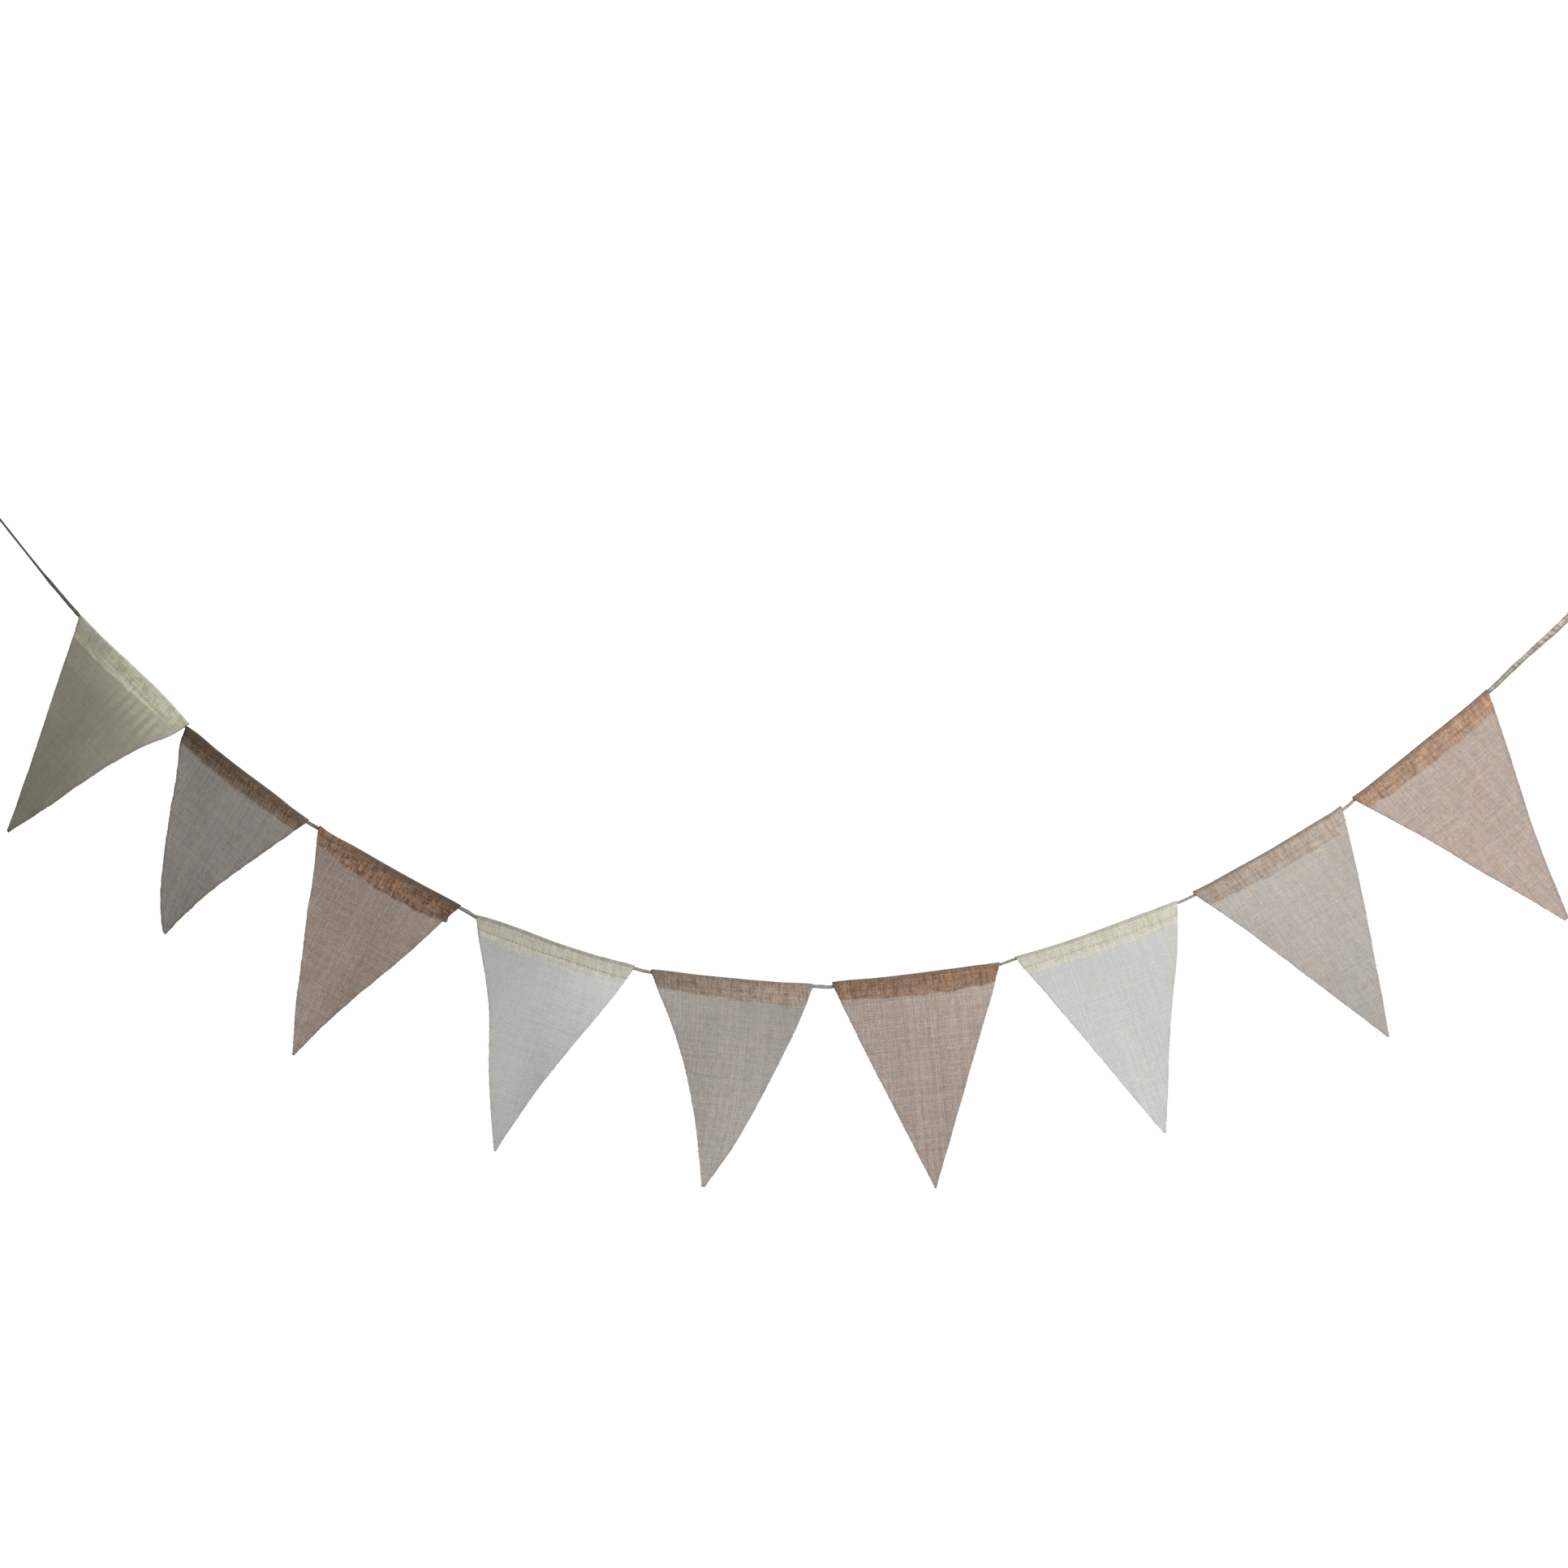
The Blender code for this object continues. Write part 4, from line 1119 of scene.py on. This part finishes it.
def cord_finish():
    """Soft braided cotton, dark and tight at the left and paler where it is slack at the right.

    Its braid is the product of two sines that wind round it in opposite ways, with painted shade where it
    lies low. Flecks, twists and bands are noise along it. Its sides darken by the cosine of the angle round
    it, and on the slack tail its lower side, as painted shade.
    """
    finish = Finish("braided cotton")
    around, along = finish.cut_map()
    along = along * 1000.0
    tint = finish.mix(finish.ramp(along, 800.0, 1500.0), CORD_LEFT_TINT, CORD_RIGHT_TINT)
    fleck = finish.noise((around * 9.0, along / 1.6, 0.0), detail=3.0, roughness=0.6)
    twist = finish.noise((around * 2.5 + along / 7.0, along / 4.0, 5.0), detail=1.0)
    turns = along / 2.2
    first = ((around * 6.0 + turns) * TURN).math("SINE")
    second = ((around * 6.0 - turns) * TURN).math("SINE")
    braid = first * second * 0.5 + 0.5
    slack = finish.ramp(along, 1560.0, 1600.0)
    # Painted shade: the sides darker by the cosine of the angle round the cord; on the slack tail the lower
    # side instead.
    side = (around * TURN).math("COSINE")
    both = finish.ramp(abs(side), 0.5, 1.0, 1.12, 0.72)
    lower = finish.ramp(side, -1.0, 0.2, 0.62, 1.10)
    wobble = finish.noise((along / 9.0, 0.0, 7.0), detail=0.0)
    bands = ((along / 5.6 + around + wobble * 1.6) * TURN).math("SINE")
    # Painted shade where the braid lies low.
    shade = finish.ramp(fleck, 0.3, 0.7, 0.82, 1.14) * finish.ramp(braid, 0.0, 1.0, 0.80, 1.08)
    shade = shade * finish.ramp(twist, 0.32, 0.68, 0.72, 1.24) * (both + (lower - both) * slack)
    shade = shade * (1.0 + finish.ramp(bands, 0.2, 0.9, 0.05, -0.28) * slack)
    colour = finish.mix(1.0, tint, finish.grey(shade * finish.attribute("light")), "MULTIPLY")
    fibre = finish.noise((around * 40.0, along * 1.4, 3.0), detail=2.0)
    normal = finish.bump(braid + fibre * 0.4, 0.00025, 0.7)
    return finish.surface(
        Base_Color=colour, Roughness=finish.ramp(fleck, 0.3, 0.7, 0.9, 0.75), Normal=normal,
        Sheen_Weight=0.2, Sheen_Roughness=0.5, Specular_IOR_Level=0.3,
    )


def thread_finish(name, colour, light=1.0):
    """Spun sewing thread: fine twisted streaks and small flecks."""
    finish = Finish(name)
    place = finish.node("ShaderNodeTexCoord", output="Object")
    fleck = finish.noise(place, 900.0, detail=2.0)
    stretched = finish.node("ShaderNodeMapping", inputs={"Vector": place, "Scale": (1.0, 1.0, 4.0)})
    twist = finish.noise(stretched, 2600.0)
    dark = tuple(c * 0.80 * light for c in colour)
    bright = tuple(c * 1.15 * light for c in colour)
    shade = finish.mix(finish.ramp(fleck * 0.6 + twist * 0.4, 0.35, 0.65), dark, bright)
    return finish.surface(
        Base_Color=shade, Roughness=finish.ramp(fleck, 0.3, 0.7, 0.75, 0.6),
        Normal=finish.bump(twist, 0.00012, 0.6), Sheen_Weight=0.15, Specular_IOR_Level=0.4,
    )


# The parts

def add_camera():
    """The camera at the photograph's angle: level, seven degrees from straight ahead."""
    yaw = math.radians(CAMERA_YAW)
    ahead = Vector((-math.sin(yaw), math.cos(yaw), 0.0))
    data = bpy.data.cameras.new("camera")
    data.lens = CAMERA_LENS
    data.sensor_width = CAMERA_SENSOR
    camera = bpy.data.objects.new("camera", data)
    camera.location = Vector(CAMERA_TARGET) - CAMERA_DISTANCE * ahead
    camera.rotation_euler = (0.5 * math.pi, 0.0, yaw)
    bpy.context.scene.collection.objects.link(camera)
    bpy.context.scene.camera = camera


def add_cord(line):
    """The carrying cord with the thread that binds each of its two loops."""
    points, half, light, along = cord_route(line)
    rings, uv = cord_tube(points, half, along)
    faces = capped_tubes(1, len(rings), CORD_SIDES)
    light = light[:, None] + np.zeros((1, CORD_SIDES))
    cord = add_piece("carrying_cord", rings, faces, cord_finish(), uv, {"light": light}, outward=True)
    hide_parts("cord")
    binding = thread_finish("binding thread", BINDING_COLOUR)
    for name, frame_at_loop in zip(("left_loop_binding", "right_loop_binding"), loop_frames(line)):
        rings, count = binding_tube(*frame_at_loop)
        faces = capped_tubes(1, count, BINDING_SIDES)
        add_piece(name, rings, faces, binding, outward=True)
    return cord


def add_pennant(pennant):
    """One pennant's cloth, its two rows of stitches and its loose thread ends."""
    name, sewing, look = pennant.row["name"], pennant.sewing, pennant.shade
    cloth = CLOTHS[sewing["kind"]]
    points, uv, values = pennant.grid()
    faces = grid_faces(*points.shape[:2])
    finish = ClothFinish(f"{sewing['kind']} cloth {name[-1]}", cloth, look, pennant.seed % 37 + 0.5)
    piece = add_piece(f"{name}_cloth", points, faces, finish.finished(), uv, values)
    thickness = piece.modifiers.new("cloth thickness", "SOLIDIFY")
    thickness.thickness = CLOTH_THICKNESS * MM
    thickness.offset = 0.0
    thickness.use_even_offset = True
    thickness.use_rim = True
    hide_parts(name)

    stitches, count = pennant.stitches()
    sewn = add_piece(
        f"{name}_stitching", stitches, capped_tubes(count, STITCH_RINGS, STITCH_SIDES),
        thread_finish(f"sewing thread {name[-1]}", cloth["thread"]), outward=True,
    )
    ends, count = pennant.loose_threads()
    # The loose threads take their pennant's tone, which is partly its own colour and partly painted light.
    loose = add_piece(
        f"{name}_loose_threads", ends, capped_tubes(count, LOOSE_THREAD_RINGS, LOOSE_THREAD_SIDES),
        thread_finish(f"loose thread {name[-1]}", cloth["light"], look["tone"]), outward=True,
    )
    size, area = laid_flat(uv)


def add_light(name, place, aim, size, watts):
    """A square soft light at a place, turned to a point, both in metres."""
    data = bpy.data.lights.new(name, "AREA")
    data.shape = "SQUARE"
    data.size = size
    data.energy = watts
    light = bpy.data.objects.new(name, data)
    light.location = place
    light.rotation_euler = (Vector(aim) - Vector(place)).to_track_quat("-Z", "Y").to_euler()
    light.visible_camera = False
    bpy.context.scene.collection.objects.link(light)


def add_studio():
    """A round pale floor under the bunting that fades out, soft lights in front and behind, a white room."""
    angle = ring_angles(FLOOR_SIDES)
    radius, z = (np.array(column)[:, None] for column in zip(*FLOOR_RINGS))
    x, y = FLOOR_MIDDLE_X + radius * np.cos(angle), radius * np.sin(angle)
    points = np.stack((x, y, z + 0.0 * angle), axis=-1)
    faces = grid_faces(len(FLOOR_RINGS), FLOOR_SIDES, closed=True)
    mesh = bpy.data.meshes.new("floor")
    mesh.from_pydata((points.reshape(-1, 3) * MM).tolist(), [], faces.tolist())
    finish = Finish("pale floor")
    place = finish.node("ShaderNodeTexCoord", output="Object")
    grain = finish.noise(place, 3.0, detail=3.0)
    pale = finish.mix(grain, (0.80, 0.80, 0.79), (0.86, 0.86, 0.85))
    middle = (FLOOR_MIDDLE_X * MM, 0.0, FLOOR_RINGS[0][1] * MM)
    away = finish.node("ShaderNodeVectorMath", {"operation": "DISTANCE"}, {0: place, 1: middle}, "Value")
    fading = finish.ramp(away, 0.5, 1.55, 1.0, 0.0)
    mesh.materials.append(finish.surface(Base_Color=pale, Roughness=0.9, Alpha=fading))
    floor = bpy.data.objects.new("floor", mesh)
    bpy.context.scene.collection.objects.link(floor)

    for row in LIGHTS:
        add_light(*row)

    world = bpy.data.worlds.new("white room")
    world.use_nodes = True
    nodes, links = world.node_tree.nodes, world.node_tree.links
    background = nodes["Background"]
    background.inputs["Color"].default_value = (1.0, 1.0, 1.0, 1.0)
    seen = nodes.new("ShaderNodeLightPath")
    strength = nodes.new("ShaderNodeMapRange")
    strength.inputs["To Min"].default_value = ROOM_LIGHT
    strength.inputs["To Max"].default_value = ROOM_SEEN
    links.new(seen.outputs["Is Camera Ray"], strength.inputs["Value"])
    links.new(strength.outputs[0], background.inputs["Strength"])
    bpy.context.scene.world = world
    bpy.context.scene.view_settings.view_transform = "Standard"


def dress():
    """The camera, the cord, the nine pennants and the studio, in that order."""
    add_camera()
    rows = table(PENNANT_COLUMNS, PENNANT_ROWS)
    line = CarryingLine(rows)
    cord = add_cord(line)
    flaps = table(FLAP_COLUMNS, FLAP_ROWS)
    sewing = table(SEWING_COLUMNS, SEWING_ROWS)
    shades = table(SHADE_COLUMNS, SHADE_ROWS)
    for place, shape in enumerate(zip(rows, flaps, SIDE_ROWS, FOLD_ROWS, sewing, shades)):
        add_pennant(Pennant(*shape, line, FIRST_SEED + place))
    add_studio()


dress()
